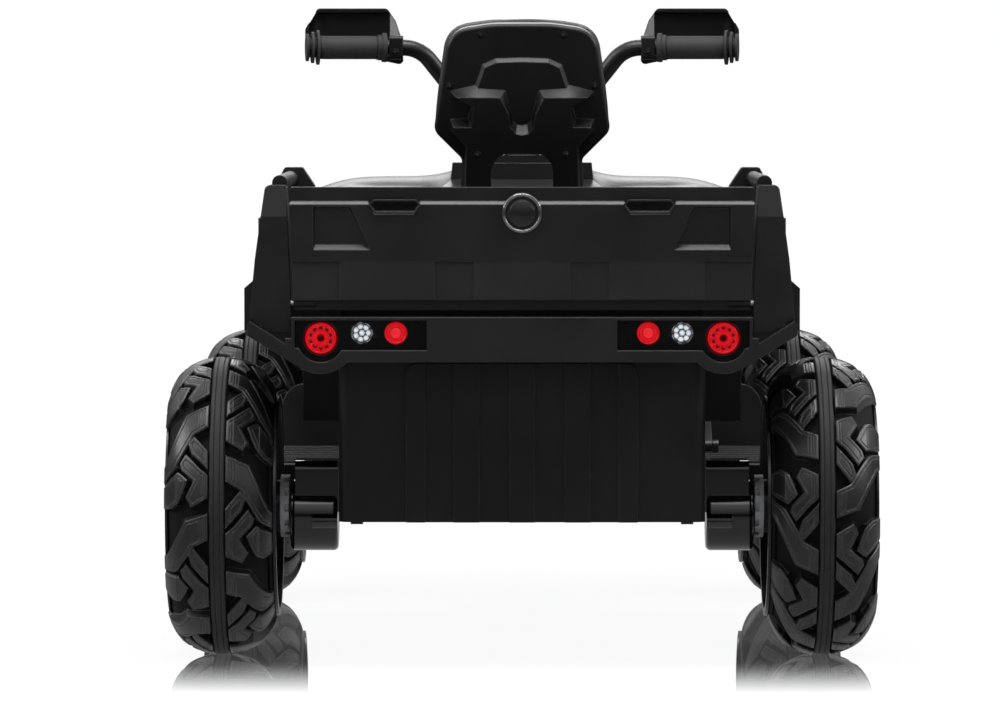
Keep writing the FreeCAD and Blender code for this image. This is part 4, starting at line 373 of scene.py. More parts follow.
# Shared surface effects
def newGroup(name, inputs, outputs):
    group = bpy.data.node_groups.new(name, "ShaderNodeTree")
    for label, value in inputs:
        socket = group.interface.new_socket(name=label, in_out="INPUT", socket_type="NodeSocketFloat")
        socket.default_value = value
    for label in outputs:
        group.interface.new_socket(name=label, in_out="OUTPUT", socket_type="NodeSocketFloat")
    start = addNode(group, "NodeGroupInput", (-900, 0))
    end = addNode(group, "NodeGroupOutput", (700, 0))
    return group, start, end


def makeGrain():
    # spark-eroded mould grain: fine cells over a slow uneven sheen
    group, start, end = newGroup("mouldGrain", [("Scale", 900.0)], ["Height", "Speck", "Patch"])
    link = group.links.new
    coord = addNode(group, "ShaderNodeTexCoord", (-900, 250))
    cells = addNode(group, "ShaderNodeTexVoronoi", (-500, 250), feature="SMOOTH_F1")
    setInputs(cells, Smoothness=0.6, Randomness=1.0)
    link(coord.outputs["Object"], cells.inputs["Vector"])
    link(start.outputs["Scale"], cells.inputs["Scale"])
    fine = addNode(group, "ShaderNodeTexNoise", (-500, -50))
    setInputs(fine, Detail=4.0, Roughness=0.62)
    twice = addNode(group, "ShaderNodeMath", (-700, -50), operation="MULTIPLY")
    twice.inputs[1].default_value = 1.7
    link(start.outputs["Scale"], twice.inputs[0])
    link(coord.outputs["Object"], fine.inputs["Vector"])
    link(twice.outputs[0], fine.inputs["Scale"])
    height = addNode(group, "ShaderNodeMath", (-200, 200), operation="MULTIPLY_ADD")
    height.inputs[1].default_value = 0.55
    link(fine.outputs["Fac"], height.inputs[0])
    link(cells.outputs["Distance"], height.inputs[2])
    slow = addNode(group, "ShaderNodeTexNoise", (-500, -350))
    setInputs(slow, Scale=11.0, Detail=5.0, Roughness=0.58, Distortion=0.4)
    link(coord.outputs["Object"], slow.inputs["Vector"])
    patch = addNode(group, "ShaderNodeMapRange", (-200, -350), interpolation_type="SMOOTHSTEP")
    setInputs(patch, From_Min=0.34, From_Max=0.66)
    link(slow.outputs["Fac"], patch.inputs["Value"])
    link(height.outputs[0], end.inputs["Height"])
    link(fine.outputs["Fac"], end.inputs["Speck"])
    link(patch.outputs[0], end.inputs["Patch"])
    return group


def makeEdgeHighlight():
    # 1 along edges, broken up so that no edge is lit evenly; it marks where a lighter colour is painted on edges as a
    # highlight
    group, start, end = newGroup("paintedEdgeHighlight", [("Breakup", 60.0)], ["Mask"])
    group.interface.new_socket(name="Rounded", in_out="OUTPUT", socket_type="NodeSocketVector")
    link = group.links.new
    coord = addNode(group, "ShaderNodeTexCoord", (-900, -300))
    geometry = addNode(group, "ShaderNodeNewGeometry", (-700, 0))
    rounded = addNode(group, "ShaderNodeBevel", (-700, 250), samples=3)
    setInputs(rounded, Radius=0.0016)
    turn = addNode(group, "ShaderNodeVectorMath", (-450, 150), operation="DOT_PRODUCT")
    link(rounded.outputs[0], turn.inputs[0])
    link(geometry.outputs["True Normal"], turn.inputs[1])
    edge = addNode(group, "ShaderNodeMapRange", (-250, 150))
    setInputs(edge, From_Min=0.985, From_Max=0.86)
    link(turn.outputs["Value"], edge.inputs["Value"])
    edgeGlint = addNode(group, "ShaderNodeTexNoise", (-500, -300))
    setInputs(edgeGlint, Detail=5.0, Roughness=0.65)
    link(coord.outputs["Object"], edgeGlint.inputs["Vector"])
    link(start.outputs["Breakup"], edgeGlint.inputs["Scale"])
    spots = addNode(group, "ShaderNodeMapRange", (-250, -250))
    setInputs(spots, From_Min=0.3, From_Max=0.62, To_Min=0.35, To_Max=1.0)
    link(edgeGlint.outputs["Fac"], spots.inputs["Value"])
    mask = addNode(group, "ShaderNodeMath", (100, 0), operation="MULTIPLY", use_clamp=True)
    link(edge.outputs[0], mask.inputs[0])
    link(spots.outputs[0], mask.inputs[1])
    link(mask.outputs[0], end.inputs["Mask"])
    link(rounded.outputs[0], end.inputs["Rounded"])
    return group


def makeDust():
    # thin dust where a surface looks up, thicker in patches
    group, start, end = newGroup("dustFall", [("Scale", 24.0)], ["Mask"])
    link = group.links.new
    coord = addNode(group, "ShaderNodeTexCoord", (-900, -250))
    geometry = addNode(group, "ShaderNodeNewGeometry", (-900, 150))
    apart = addNode(group, "ShaderNodeSeparateXYZ", (-700, 150))
    link(geometry.outputs["Normal"], apart.inputs[0])
    up = addNode(group, "ShaderNodeMapRange", (-450, 150), interpolation_type="SMOOTHSTEP")
    setInputs(up, From_Min=0.25, From_Max=1.0)
    link(apart.outputs["Z"], up.inputs["Value"])
    cloud = addNode(group, "ShaderNodeTexNoise", (-700, -250))
    setInputs(cloud, Detail=7.0, Roughness=0.7)
    link(coord.outputs["Object"], cloud.inputs["Vector"])
    link(start.outputs["Scale"], cloud.inputs["Scale"])
    spread = addNode(group, "ShaderNodeMapRange", (-450, -250))
    setInputs(spread, From_Min=0.35, From_Max=0.75, To_Min=0.2, To_Max=1.0)
    link(cloud.outputs["Fac"], spread.inputs["Value"])
    mask = addNode(group, "ShaderNodeMath", (-100, 0), operation="MULTIPLY", use_clamp=True)
    link(up.outputs[0], mask.inputs[0])
    link(spread.outputs[0], mask.inputs[1])
    link(mask.outputs[0], end.inputs["Mask"])
    return group


grainGroup = makeGrain()
edgeHighlightGroup = makeEdgeHighlight()
dustGroup = makeDust()


def useGroup(tree, group, place, **values):
    node = addNode(tree, "ShaderNodeGroup", place, node_tree=group)
    setInputs(node, **values)
    return node


def colourMix(tree, place, factor, low, high, mode="MIX"):
    mix = addNode(tree, "ShaderNodeMix", place, data_type="RGBA", blend_type=mode)
    for socket, value in ((mix.inputs[0], factor), (mix.inputs[6], low), (mix.inputs[7], high)):
        if isinstance(value, bpy.types.NodeSocket):
            tree.links.new(value, socket)
        elif isinstance(value, tuple):
            socket.default_value = (*value[:3], 1)
        else:
            socket.default_value = value
    return mix.outputs[2]


def scaled(tree, place, value, factor):
    node = addNode(tree, "ShaderNodeMath", place, operation="MULTIPLY", use_clamp=True)
    tree.links.new(value, node.inputs[0])
    node.inputs[1].default_value = factor
    return node.outputs[0]


def ranged(tree, place, value, low, high, start=0.0, end=1.0):
    node = addNode(tree, "ShaderNodeMapRange", place)
    setInputs(node, From_Min=start, From_Max=end, To_Min=low, To_Max=high)
    tree.links.new(value, node.inputs["Value"])
    return node.outputs[0]


def moulded(name, look):
    # moulded plastic or rubber: grain, sheen patches, painted highlights along the edges, a trace of dust
    material, tree = newMaterial(name)
    link = tree.links.new
    shader = addNode(tree, "ShaderNodeBsdfPrincipled", (300, 0))
    grain = useGroup(tree, grainGroup, (-900, 200), Scale=look["grain"])
    edgeLight = useGroup(tree, edgeHighlightGroup, (-900, -50), Breakup=look.get("breakup", 60.0))
    dust = useGroup(tree, dustGroup, (-900, -250), Scale=look.get("dustScale", 24.0))
    body = colourMix(tree, (-600, 300), grain.outputs["Patch"], look["dark"], look["light"])
    # painted highlight: the edges are mixed towards a lighter colour
    edgeGlint = scaled(tree, (-600, 0), edgeLight.outputs["Mask"], look["edgeLight"])
    edgeLitColour = colourMix(tree, (-350, 250), edgeGlint, body, look["edgeLitColour"])
    settled = scaled(tree, (-600, -250), dust.outputs["Mask"], look["dust"])
    dusty = colourMix(tree, (-100, 200), settled, edgeLitColour, look.get("dustColour", (0.20, 0.19, 0.175)))
    link(dusty, shader.inputs["Base Color"])
    rough = ranged(tree, (-350, -50), grain.outputs["Speck"], look["rough"][0], look["rough"][1], 0.3, 0.7)
    sheen = addNode(tree, "ShaderNodeMath", (-100, -50), operation="MULTIPLY_ADD", use_clamp=True)
    link(grain.outputs["Patch"], sheen.inputs[0])
    sheen.inputs[1].default_value = look.get("patchRough", 0.05)
    link(rough, sheen.inputs[2])
    link(sheen.outputs[0], shader.inputs["Roughness"])
    bump = addNode(tree, "ShaderNodeBump", (0, -300))
    setInputs(bump, Strength=look["relief"], Distance=look.get("reliefDepth", 0.0003))
    link(grain.outputs["Height"], bump.inputs["Height"])
    link(edgeLight.outputs["Rounded"], bump.inputs["Normal"])
    link(bump.outputs[0], shader.inputs["Normal"])
    shader.inputs["Specular IOR Level"].default_value = look.get("specular", 0.3)
    shader.inputs["Coat Weight"].default_value = look.get("coat", 0.0)
    shader.inputs["Coat Roughness"].default_value = look.get("coatRough", 0.08)
    shader.inputs["Metallic"].default_value = look.get("metal", 0.0)
    out = addNode(tree, "ShaderNodeOutputMaterial", (600, 0))
    link(shader.outputs[0], out.inputs[0])
    return material


# each look's edge colour and its amount give the painted highlight along edges
looks = {
    "black_plastic": {"dark": (0.0062, 0.0058, 0.0065), "light": (0.0088, 0.0083, 0.0092), "edgeLitColour": (0.05, 0.05, 0.052),
                      "edgeLight": 0.55, "dust": 0.03, "grain": 950.0, "relief": 0.2, "rough": (0.29, 0.38),
                      "specular": 0.46},
    "gloss_black": {"dark": (0.0022, 0.0022, 0.0024), "light": (0.0032, 0.0032, 0.0034), "edgeLitColour": (0.02, 0.02, 0.02),
                    "edgeLight": 0.3, "dust": 0.012, "grain": 240.0, "relief": 0.02, "rough": (0.05, 0.10),
                    "patchRough": 0.03, "specular": 0.5, "coat": 0.4, "coatRough": 0.04},
    "tyre_plastic": {"dark": (0.0075, 0.0073, 0.0078), "light": (0.0108, 0.0105, 0.0112), "edgeLitColour": (0.12, 0.12, 0.126),
                     "edgeLight": 0.6, "dust": 0.04, "grain": 720.0, "relief": 0.28, "rough": (0.24, 0.34), "specular": 0.5},
    "band_rubber": {"dark": (0.011, 0.011, 0.0115), "light": (0.017, 0.017, 0.0175), "edgeLitColour": (0.06, 0.06, 0.06),
                    "edgeLight": 0.45, "dust": 0.08, "grain": 1300.0, "relief": 0.3, "rough": (0.52, 0.66), "specular": 0.3},
    "rim_plastic": {"dark": (0.0042, 0.0042, 0.0044), "light": (0.0062, 0.0062, 0.0064), "edgeLitColour": (0.06, 0.06, 0.062),
                    "edgeLight": 0.5, "dust": 0.02, "grain": 600.0, "relief": 0.06, "rough": (0.20, 0.30), "specular": 0.45},
    "grey_plastic": {"dark": (0.25, 0.252, 0.262), "light": (0.31, 0.312, 0.322), "edgeLitColour": (0.42, 0.42, 0.43),
                     "edgeLight": 0.45, "dust": 0.05, "grain": 800.0, "relief": 0.2, "rough": (0.42, 0.54), "specular": 0.4},
    "steel": {"dark": (0.42, 0.42, 0.43), "light": (0.56, 0.56, 0.57), "edgeLitColour": (0.72, 0.72, 0.72),
              "edgeLight": 0.5, "dust": 0.03, "grain": 420.0, "relief": 0.12, "rough": (0.26, 0.44),
              "metal": 1.0, "specular": 0.5},
    "black_tube": {"dark": (0.0068, 0.0068, 0.007), "light": (0.0098, 0.0098, 0.010), "edgeLitColour": (0.09, 0.09, 0.092),
                   "edgeLight": 0.4, "dust": 0.025, "grain": 520.0, "relief": 0.16, "rough": (0.26, 0.36), "specular": 0.42},
    "grip_rubber": {"dark": (0.024, 0.0236, 0.0255), "light": (0.034, 0.0336, 0.036), "edgeLitColour": (0.05, 0.05, 0.05),
                    "edgeLight": 0.4, "dust": 0.06, "grain": 1500.0, "relief": 0.3, "rough": (0.55, 0.7), "specular": 0.28},
    "badge_plastic": {"dark": (0.010, 0.010, 0.0105), "light": (0.014, 0.014, 0.0145), "edgeLitColour": (0.08, 0.08, 0.08),
                      "edgeLight": 0.4, "dust": 0.02, "grain": 700.0, "relief": 0.05, "rough": (0.14, 0.22),
                      "specular": 0.5},
    "battery_case": {"dark": (0.030, 0.031, 0.034), "light": (0.042, 0.043, 0.047), "edgeLitColour": (0.12, 0.12, 0.12),
                     "edgeLight": 0.5, "dust": 0.1, "grain": 700.0, "relief": 0.2, "rough": (0.45, 0.58), "specular": 0.35},
}
finishes = {slot: moulded(slot.replace("_", " ").title().replace(" ", ""), look) for slot, look in looks.items()}


# Lamps: lit red lens with depth in it, and clear lens over facets
def lensFinish(name, core, rim, glow, rough=0.06):
    material, tree = newMaterial(name)
    link = tree.links.new
    shader = addNode(tree, "ShaderNodeBsdfPrincipled", (300, 0))
    grain = useGroup(tree, grainGroup, (-700, 200), Scale=340.0)
    facing = addNode(tree, "ShaderNodeLayerWeight", (-700, -100))
    setInputs(facing, Blend=0.42)
    deep = colourMix(tree, (-350, 200), facing.outputs["Facing"], core, rim)
    body = colourMix(tree, (-100, 200), scaled(tree, (-350, 0), grain.outputs["Patch"], 0.25), deep, rim)
    link(body, shader.inputs["Base Color"])
    link(body, shader.inputs["Emission Color"])
    shader.inputs["Emission Strength"].default_value = glow
    link(ranged(tree, (-100, -100), grain.outputs["Speck"], rough, rough + 0.06, 0.3, 0.7), shader.inputs["Roughness"])
    shader.inputs["Specular IOR Level"].default_value = 0.2
    shader.inputs["Coat Weight"].default_value = 0.08
    shader.inputs["Coat Roughness"].default_value = 0.04
    out = addNode(tree, "ShaderNodeOutputMaterial", (600, 0))
    link(shader.outputs[0], out.inputs[0])
    return material


def glassFinish(name, tint, rough):
    material, tree = newMaterial(name)
    link = tree.links.new
    shader = addNode(tree, "ShaderNodeBsdfPrincipled", (300, 0))
    grain = useGroup(tree, grainGroup, (-500, 0), Scale=300.0)
    darker = tuple(value * 0.93 for value in tint)
    link(colourMix(tree, (0, 150), grain.outputs["Patch"], tint, darker), shader.inputs["Base Color"])
    link(ranged(tree, (0, -100), grain.outputs["Speck"], rough, rough + 0.03, 0.3, 0.7), shader.inputs["Roughness"])
    shader.inputs["Transmission Weight"].default_value = 1.0
    shader.inputs["IOR"].default_value = 1.49
    out = addNode(tree, "ShaderNodeOutputMaterial", (600, 0))
    link(shader.outputs[0], out.inputs[0])
    return material


finishes["red_lens"] = lensFinish("RedLens", (0.70, 0.003, 0.010), (0.22, 0.001, 0.003), 0.42)
finishes["clear_lens"] = glassFinish("ClearLens", (0.96, 0.97, 0.98), 0.02)
redDeep = lensFinish("RedDeep", (0.075, 0.001, 0.002), (0.02, 0.0005, 0.001), 0.05, 0.12)
redBright = lensFinish("RedBright", (0.78, 0.022, 0.030), (0.50, 0.008, 0.012), 0.36)
# the tyre rubber painted much darker than the lug tops, as shade in the grooves between the lugs
grooveShadeBlack = moulded("TyreGroovePaintedShade", {
    "dark": (0.0016, 0.0016, 0.0017), "light": (0.0028, 0.0027, 0.0029), "edgeLitColour": (0.02, 0.02, 0.02), "edgeLight": 0.4,
    "dust": 0.02, "grain": 620.0, "relief": 0.3, "rough": (0.58, 0.72), "specular": 0.16})
ledWhite = lensFinish("LedWhite", (0.86, 0.90, 0.95), (0.55, 0.58, 0.62), 0.42, 0.10)
chrome = moulded("ChromeLacquer", {
    "dark": (0.62, 0.63, 0.65), "light": (0.74, 0.75, 0.77), "edgeLitColour": (0.86, 0.86, 0.87), "edgeLight": 0.4,
    "dust": 0.02, "grain": 360.0, "relief": 0.03, "rough": (0.10, 0.18), "metal": 1.0, "specular": 0.5})


# Leather: pebbled cells, creases between them painted darker as shade, a polished look on the high spots
def leatherFinish():
    material, tree = newMaterial("PadLeather")
    link = tree.links.new
    shader = addNode(tree, "ShaderNodeBsdfPrincipled", (400, 0))
    coord = addNode(tree, "ShaderNodeTexCoord", (-1100, 0))
    warp = addNode(tree, "ShaderNodeTexNoise", (-900, -200))
    setInputs(warp, Scale=55.0, Detail=3.0)
    link(coord.outputs["Object"], warp.inputs["Vector"])
    shifted = addNode(tree, "ShaderNodeVectorMath", (-700, 0), operation="MULTIPLY_ADD")
    shifted.inputs[1].default_value = (0.004, 0.004, 0.004)
    link(warp.outputs["Color"], shifted.inputs[0])
    link(coord.outputs["Object"], shifted.inputs[2])
    pebbles = addNode(tree, "ShaderNodeTexVoronoi", (-500, 150), feature="DISTANCE_TO_EDGE")
    setInputs(pebbles, Scale=420.0, Randomness=0.92)
    link(shifted.outputs[0], pebbles.inputs["Vector"])
    rise = addNode(tree, "ShaderNodeMapRange", (-300, 150), interpolation_type="SMOOTHSTEP")
    setInputs(rise, From_Min=0.0, From_Max=0.28)
    link(pebbles.outputs["Distance"], rise.inputs["Value"])
    grain = useGroup(tree, grainGroup, (-500, -150), Scale=1600.0)
    edgeLight = useGroup(tree, edgeHighlightGroup, (-500, -350), Breakup=40.0)
    dust = useGroup(tree, dustGroup, (-500, -550), Scale=18.0)
    # painted shade: the creases between pebbles darker than the pebble tops
    creaseShadeTone = colourMix(tree, (-50, 250), rise.outputs[0], (0.0045, 0.0043, 0.0043), (0.0125, 0.0121, 0.012))
    patches = scaled(tree, (-50, 60), grain.outputs["Patch"], 0.4)
    patched = colourMix(tree, (120, 250), patches, creaseShadeTone, (0.0085, 0.0083, 0.0083))
    # painted highlight along the leather's edges
    edgeGlint = scaled(tree, (-50, -300), edgeLight.outputs["Mask"], 0.35)
    edgeLitColour = colourMix(tree, (260, 250), edgeGlint, patched, (0.05, 0.049, 0.048))
    dusty = colourMix(tree, (330, 330), scaled(tree, (-50, -450), dust.outputs["Mask"], 0.04), edgeLitColour, (0.2, 0.19, 0.175))
    link(dusty, shader.inputs["Base Color"])
    link(ranged(tree, (120, -50), rise.outputs[0], 0.62, 0.40), shader.inputs["Roughness"])
    height = addNode(tree, "ShaderNodeMath", (-50, -120), operation="MULTIPLY_ADD")
    height.inputs[1].default_value = 0.25
    link(grain.outputs["Speck"], height.inputs[0])
    link(rise.outputs[0], height.inputs[2])
    bump = addNode(tree, "ShaderNodeBump", (200, -250))
    setInputs(bump, Strength=0.45, Distance=0.0006)
    link(height.outputs[0], bump.inputs["Height"])
    link(bump.outputs[0], shader.inputs["Normal"])
    shader.inputs["Specular IOR Level"].default_value = 0.34
    shader.inputs["Sheen Weight"].default_value = 0.05
    out = addNode(tree, "ShaderNodeOutputMaterial", (700, 0))
    link(shader.outputs[0], out.inputs[0])
    return material


finishes["seat_leather"] = leatherFinish()
thread = moulded("SeamThread", {
    "dark": (0.020, 0.020, 0.021), "light": (0.032, 0.032, 0.033), "edgeLitColour": (0.1, 0.1, 0.1), "edgeLight": 0.3,
    "dust": 0.05, "grain": 2200.0, "relief": 0.4, "rough": (0.55, 0.7), "specular": 0.3})

# two tones of the same black plastic: the darker copy is painted shade, laid on the backrest shell, the tub and the
# hand guards
shadedBlack = moulded("BlackPlasticShaded", {
    **looks["black_plastic"], "dark": (0.0030, 0.0026, 0.0032), "light": (0.0046, 0.0041, 0.0049), "specular": 0.36})
shadedNodes = ("backrest_shell", "chassis_tub", "hand_guard_left", "hand_guard_right")
for name, node in nodes.items():
    dress(node, shadedBlack if name in shadedNodes else finishes[slotOf[name]])
print("materials ready:", len(bpy.data.materials))


# Tyres: lugs drawn flat, cut and grooved, then wrapped round the casing
tyre = {
    "radius": 0.150, "pitches": 8, "steps": 128,
    # place along the tread from the band, then (x, radius) of the lug tops and of the casing under them
    "tops": [(0.0, 0.0087, 0.1500), (0.0025, 0.0112, 0.1499), (0.010, 0.0187, 0.1479), (0.0183, 0.0270, 0.1448),
             (0.025, 0.0337, 0.1414), (0.0313, 0.0400, 0.1369), (0.036, 0.0447, 0.1315), (0.0400, 0.0486, 0.1258),
             (0.0445, 0.0519, 0.1187), (0.0489, 0.0537, 0.1132), (0.052, 0.0539, 0.1105)],
    "casing": [(0.0, 0.0087, 0.1402), (0.010, 0.0187, 0.1378), (0.0183, 0.0270, 0.1350), (0.0313, 0.0392, 0.1272),
               (0.036, 0.0435, 0.1223), (0.0400, 0.0462, 0.1180), (0.0445, 0.0490, 0.1140), (0.0489, 0.0500, 0.1118),
               (0.052, 0.0501, 0.1098)],
    # outlines: share of the way from the band to the shoulder, share of a pitch
    "lugs": [
        [(0, 0), (0.49, 0.06), (0.95, 0.46), (1.08, 0.50), (1.08, 0.66), (0.78, 0.56), (0.34, 0.26), (0, 0.20)],
        [(0, 0.45), (0.32, 0.31), (0.41, 0.36), (0.34, 0.45), (0, 0.59)],
        [(0, 0.66), (0.22, 0.60), (0.50, 0.47), (0.60, 0.53), (0.56, 0.59), (0.28, 0.70), (0.46, 0.84),
         (0.36, 0.91), (0, 0.84)],
        [(0.50, 0.69), (0.68, 0.62), (1.08, 0.73), (1.08, 0.94), (0.84, 0.93), (0.68, 0.87)],
    ],
    "span": 0.0453, "grow": 0.0026, "wall": 0.0074, "draft": 0.0009, "chamfer": 0.0010, "margin": 0.0021,
    "groove": 0.00055, "grooveDepth": 0.0011, "sipes": {0: (0.0062, 0.0092), 1: (0.0052,), 2: (0.0062,), 3: (0.0320,)},
    "sipeWidth": 0.0006, "sipeDepth": 0.0011,
    "bead": [(-0.0540, 0.1073), (-0.0534, 0.1102), (-0.0520, 0.1120)],
    "inner": [(0.0500, 0.1112), (0.0500, 0.1073), (-0.0540, 0.1073)],
    "sideRings": [(0.0503, 0.1128), (0.0509, 0.1138), (0.0503, 0.1148)],
    "band": [(-0.0075, 0.1400), (-0.0075, 0.1478), (-0.0062, 0.1494), (-0.0036, 0.1495), (-0.0032, 0.1485),
             (-0.0028, 0.1485), (-0.0024, 0.1495), (0.0024, 0.1495), (0.0028, 0.1485), (0.0032, 0.1485),
             (0.0036, 0.1495), (0.0062, 0.1494), (0.0075, 0.1478), (0.0075, 0.1400)],
}


def along(table, place):
    # straight-line reading of a table of (place, x, radius)
    place = min(max(place, table[0][0]), table[-1][0])
    for first, second in zip(table, table[1:]):
        if place <= second[0]:
            share = (place - first[0]) / (second[0] - first[0])
            return Vector([first[i] + (second[i] - first[i]) * share for i in (1, 2)])
    return Vector(table[-1][1:])


def topNormal(place):
    ahead = along(tyre["tops"], place + 0.002) - along(tyre["tops"], place - 0.002)
    return Vector((-ahead.y, ahead.x)).normalized()


def grown(outline, step):
    # the outline with each side moved out by step
    points = [Vector(point) for point in outline]
    area = sum(a.x * b.y - b.x * a.y for a, b in zip(points, points[1:] + points[:1]))
    turn = 1 if area > 0 else -1
    corners = []
    for i, point in enumerate(points):
        before = (point - points[i - 1]).normalized()
        after = (points[(i + 1) % len(points)] - point).normalized()
        outBefore = Vector((before.y, -before.x)) * turn
        outAfter = Vector((after.y, -after.x)) * turn
        middle = (outBefore + outAfter).normalized()
        corners.append(point + middle * step / max(middle.dot(outAfter), 0.5))
    return [tuple(corner) for corner in corners]


def flatLug(index):
    # X across the tread, Y round it, Z up from the casing
    pitch = math.tau * tyre["radius"] / tyre["pitches"]
    outline = [(across * tyre["span"], ahead * pitch) for across, ahead in tyre["lugs"][index]]
    outline = [(max(x, -0.0009), y) for x, y in grown(outline, tyre["grow"])]
    mesh = bpy.data.meshes.new("lug")
    mesh.from_pydata([(x, y, 0) for x, y in outline], [], [tuple(range(len(outline)))])
    obj = newObject("lug", mesh)
    editMode(obj)
    bpy.ops.mesh.select_all(action="SELECT")
    bpy.ops.mesh.normals_make_consistent(inside=False)
    choose(obj, "faces", lambda face: face.normal.z < 0)
    bpy.ops.mesh.flip_normals()
    bpy.ops.mesh.select_all(action="SELECT")
    bpy.ops.mesh.inset(thickness=tyre["draft"], depth=tyre["wall"])
    bpy.ops.mesh.inset(thickness=tyre["chamfer"], depth=tyre["chamfer"])
    bpy.ops.mesh.inset(thickness=tyre["margin"], depth=0)
    bpy.ops.mesh.inset(thickness=tyre["groove"], depth=-tyre["grooveDepth"])
    bpy.ops.mesh.inset(thickness=tyre["groove"], depth=tyre["grooveDepth"])
    # cuts that let the block bend round the tyre, and the edges of its cross grooves
    middle = tyre["wall"] + tyre["chamfer"]
    cutsX = [0.0035 * i for i in range(1, 15)]
    for sipe in tyre["sipes"][index]:
        cutsX = [cut for cut in cutsX if abs(cut - sipe) > 0.0016]
        cutsX += [sipe - tyre["sipeWidth"], sipe, sipe + tyre["sipeWidth"]]
    low = min(y for x, y in outline)
    high = max(y for x, y in outline)
    cutsY = [low + 0.0075 * i for i in range(1, int((high - low) / 0.0075) + 1)]
    for cut in cutsX:
        bpy.ops.mesh.select_all(action="SELECT")
        bpy.ops.mesh.bisect(plane_co=(cut, 0, 0), plane_no=(1, 0, 0))
    for cut in cutsY:
        bpy.ops.mesh.select_all(action="SELECT")
        bpy.ops.mesh.bisect(plane_co=(0, cut, 0), plane_no=(0, 1, 0))
    bpy.ops.mesh.select_mode(type="VERT")
    for sipe in tyre["sipes"][index]:
        choose(obj, "verts", lambda vertex: abs(vertex.co.x - sipe) < 0.00005 and vertex.co.z > middle - 0.0004)
        bpy.ops.transform.translate(value=(0, 0, -tyre["sipeDepth"]))
    objectMode()
    return obj


def wrapLug(obj, side, turn):
    top = tyre["wall"] + tyre["chamfer"]
    for vertex in obj.data.vertices:
        place, ahead, height = vertex.co
        upper = along(tyre["tops"], place)
        if height < 0.0002:
            point = along(tyre["casing"], place) - topNormal(place) * 0.0012
        else:
            point = upper + topNormal(place) * (height - top)
        angle = ahead / tyre["radius"] + turn
        vertex.co = (side * point.x, math.sin(angle) * point.y, math.cos(angle) * point.y)
    obj.data.update()


def makeTyre():
    casing = tyre["casing"]
    right = [(x, r) for place, x, r in casing[:-1]] + tyre["sideRings"][::-1]
    left = [(-x, r) for x, r in right]
    profile = tyre["bead"] + left[::-1] + [(0.0, 0.1405)] + right + tyre["inner"]
    profile = sorted(set(profile), key=profile.index)
    body = spun("tyreBody", profile + profile[:1], tyre["steps"], angle=40)
    # the casing between the lugs takes the darker colour: painted shade
    dress(body, grooveShadeBlack)
    blocks = []
    for index in range(len(tyre["lugs"])):
        flat = flatLug(index)
        dress(flat, finishes["tyre_plastic"])
        for side in (1, -1):
            wrapped = copyOf(flat, "lug")
            stagger = 0 if side > 0 else 0.5
            wrapLug(wrapped, side, stagger * math.tau / tyre["pitches"])
            outward(wrapped)
            faceOut = sum(face.normal.dot(face.center) * face.area for face in wrapped.data.polygons)
            if faceOut < 0:
                wrapped.data.flip_normals()
            for number in range(tyre["pitches"]):
                turn = Matrix.Rotation(number * math.tau / tyre["pitches"], 4, "X")
                blocks.append(copyOf(wrapped, "lug", turn))
            bpy.data.objects.remove(wrapped)
        bpy.data.objects.remove(flat)
    whole = joined([body] + blocks, "tyreMaster")
    smooth(whole, 24)
    return whole


def makeBand():
    return spun("bandMaster", tyre["band"] + [(0.0075, 0.1400), (-0.0075, 0.1400)], tyre["steps"], angle=30)


def atWheel(name):
    low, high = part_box(name)
    centre = (Vector(low) + Vector(high)) / 2
    return centre


tyreMaster = makeTyre()
bandMaster = makeBand()
dress(bandMaster, finishes["band_rubber"])
for end in ("front", "rear"):
    for side in ("left", "right"):
        wheel = f"{end}_{side}"
        centre = atWheel(f"{wheel}_traction_band")
        turn = Matrix.Rotation(math.pi if side == "left" else 0.0, 4, "Z")
        place = Matrix.Translation(centre) @ turn
        cover = copyOf(tyreMaster, f"{wheel}_tyre_visual", place)
        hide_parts(f"{wheel}_tyre")
        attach(cover, bodyOf[f"{wheel}_tyre"])
        strip = copyOf(bandMaster, f"{wheel}_band_visual", place)
        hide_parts(f"{wheel}_traction_band")
        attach(strip, bodyOf[f"{wheel}_traction_band"])
print("tyres ready:", len(tyreMaster.data.polygons), "faces each")
bpy.data.objects.remove(tyreMaster)
bpy.data.objects.remove(bandMaster)


# Hood skin: one smooth pressing laid over the CAD panels, down to nothing at its edge
skin = {
    "halfWidth": 0.36, "ends": (0.02, 0.56), "step": 0.005, "passes": 32, "lift": 0.0065, "low": 0.33, "rest": 0.0004,
    "wall": 0.0012, "underDash": 0.004, "flat": 0.35, "closePasses": 4, "closeShare": 0.55,
    "edgePasses": 8, "edgeFrom": 0.55, "edgeSpan": 0.4, "tallest": 5,
}


def skinHeights(source):
    columns = round(2 * skin["halfWidth"] / skin["step"]) + 1
    rows = round((skin["ends"][1] - skin["ends"][0]) / skin["step"]) + 1
    inside = source.matrix_world.inverted()
    height = np.zeros((columns, rows))
    mask = np.zeros((columns, rows))
    for i in range(columns):
        for j in range(rows):
            start = inside @ Vector((-skin["halfWidth"] + i * skin["step"], skin["ends"][0] + j * skin["step"], 1.0))
            hit, place, normal, index = source.ray_cast(start, Vector((0, 0, -1)))
            if hit and place.z > skin["low"]:
                height[i, j] = place.z
                mask[i, j] = 1 if normal.z > skin["flat"] else 0
    # steep steps inside the panel belong to it as well
    close = mask.copy()
    for number in range(skin["closePasses"]):
        close = boxBlur(close)
    mask[(height > 0) & (close > skin["closeShare"])] = 1
    return height, mask


def boxBlur(field):
    padded = np.pad(field, 1, mode="edge")
    columns, rows = field.shape
    total = sum(padded[a:a + columns, b:b + rows] for a in range(3) for b in range(3))
    return total / 9


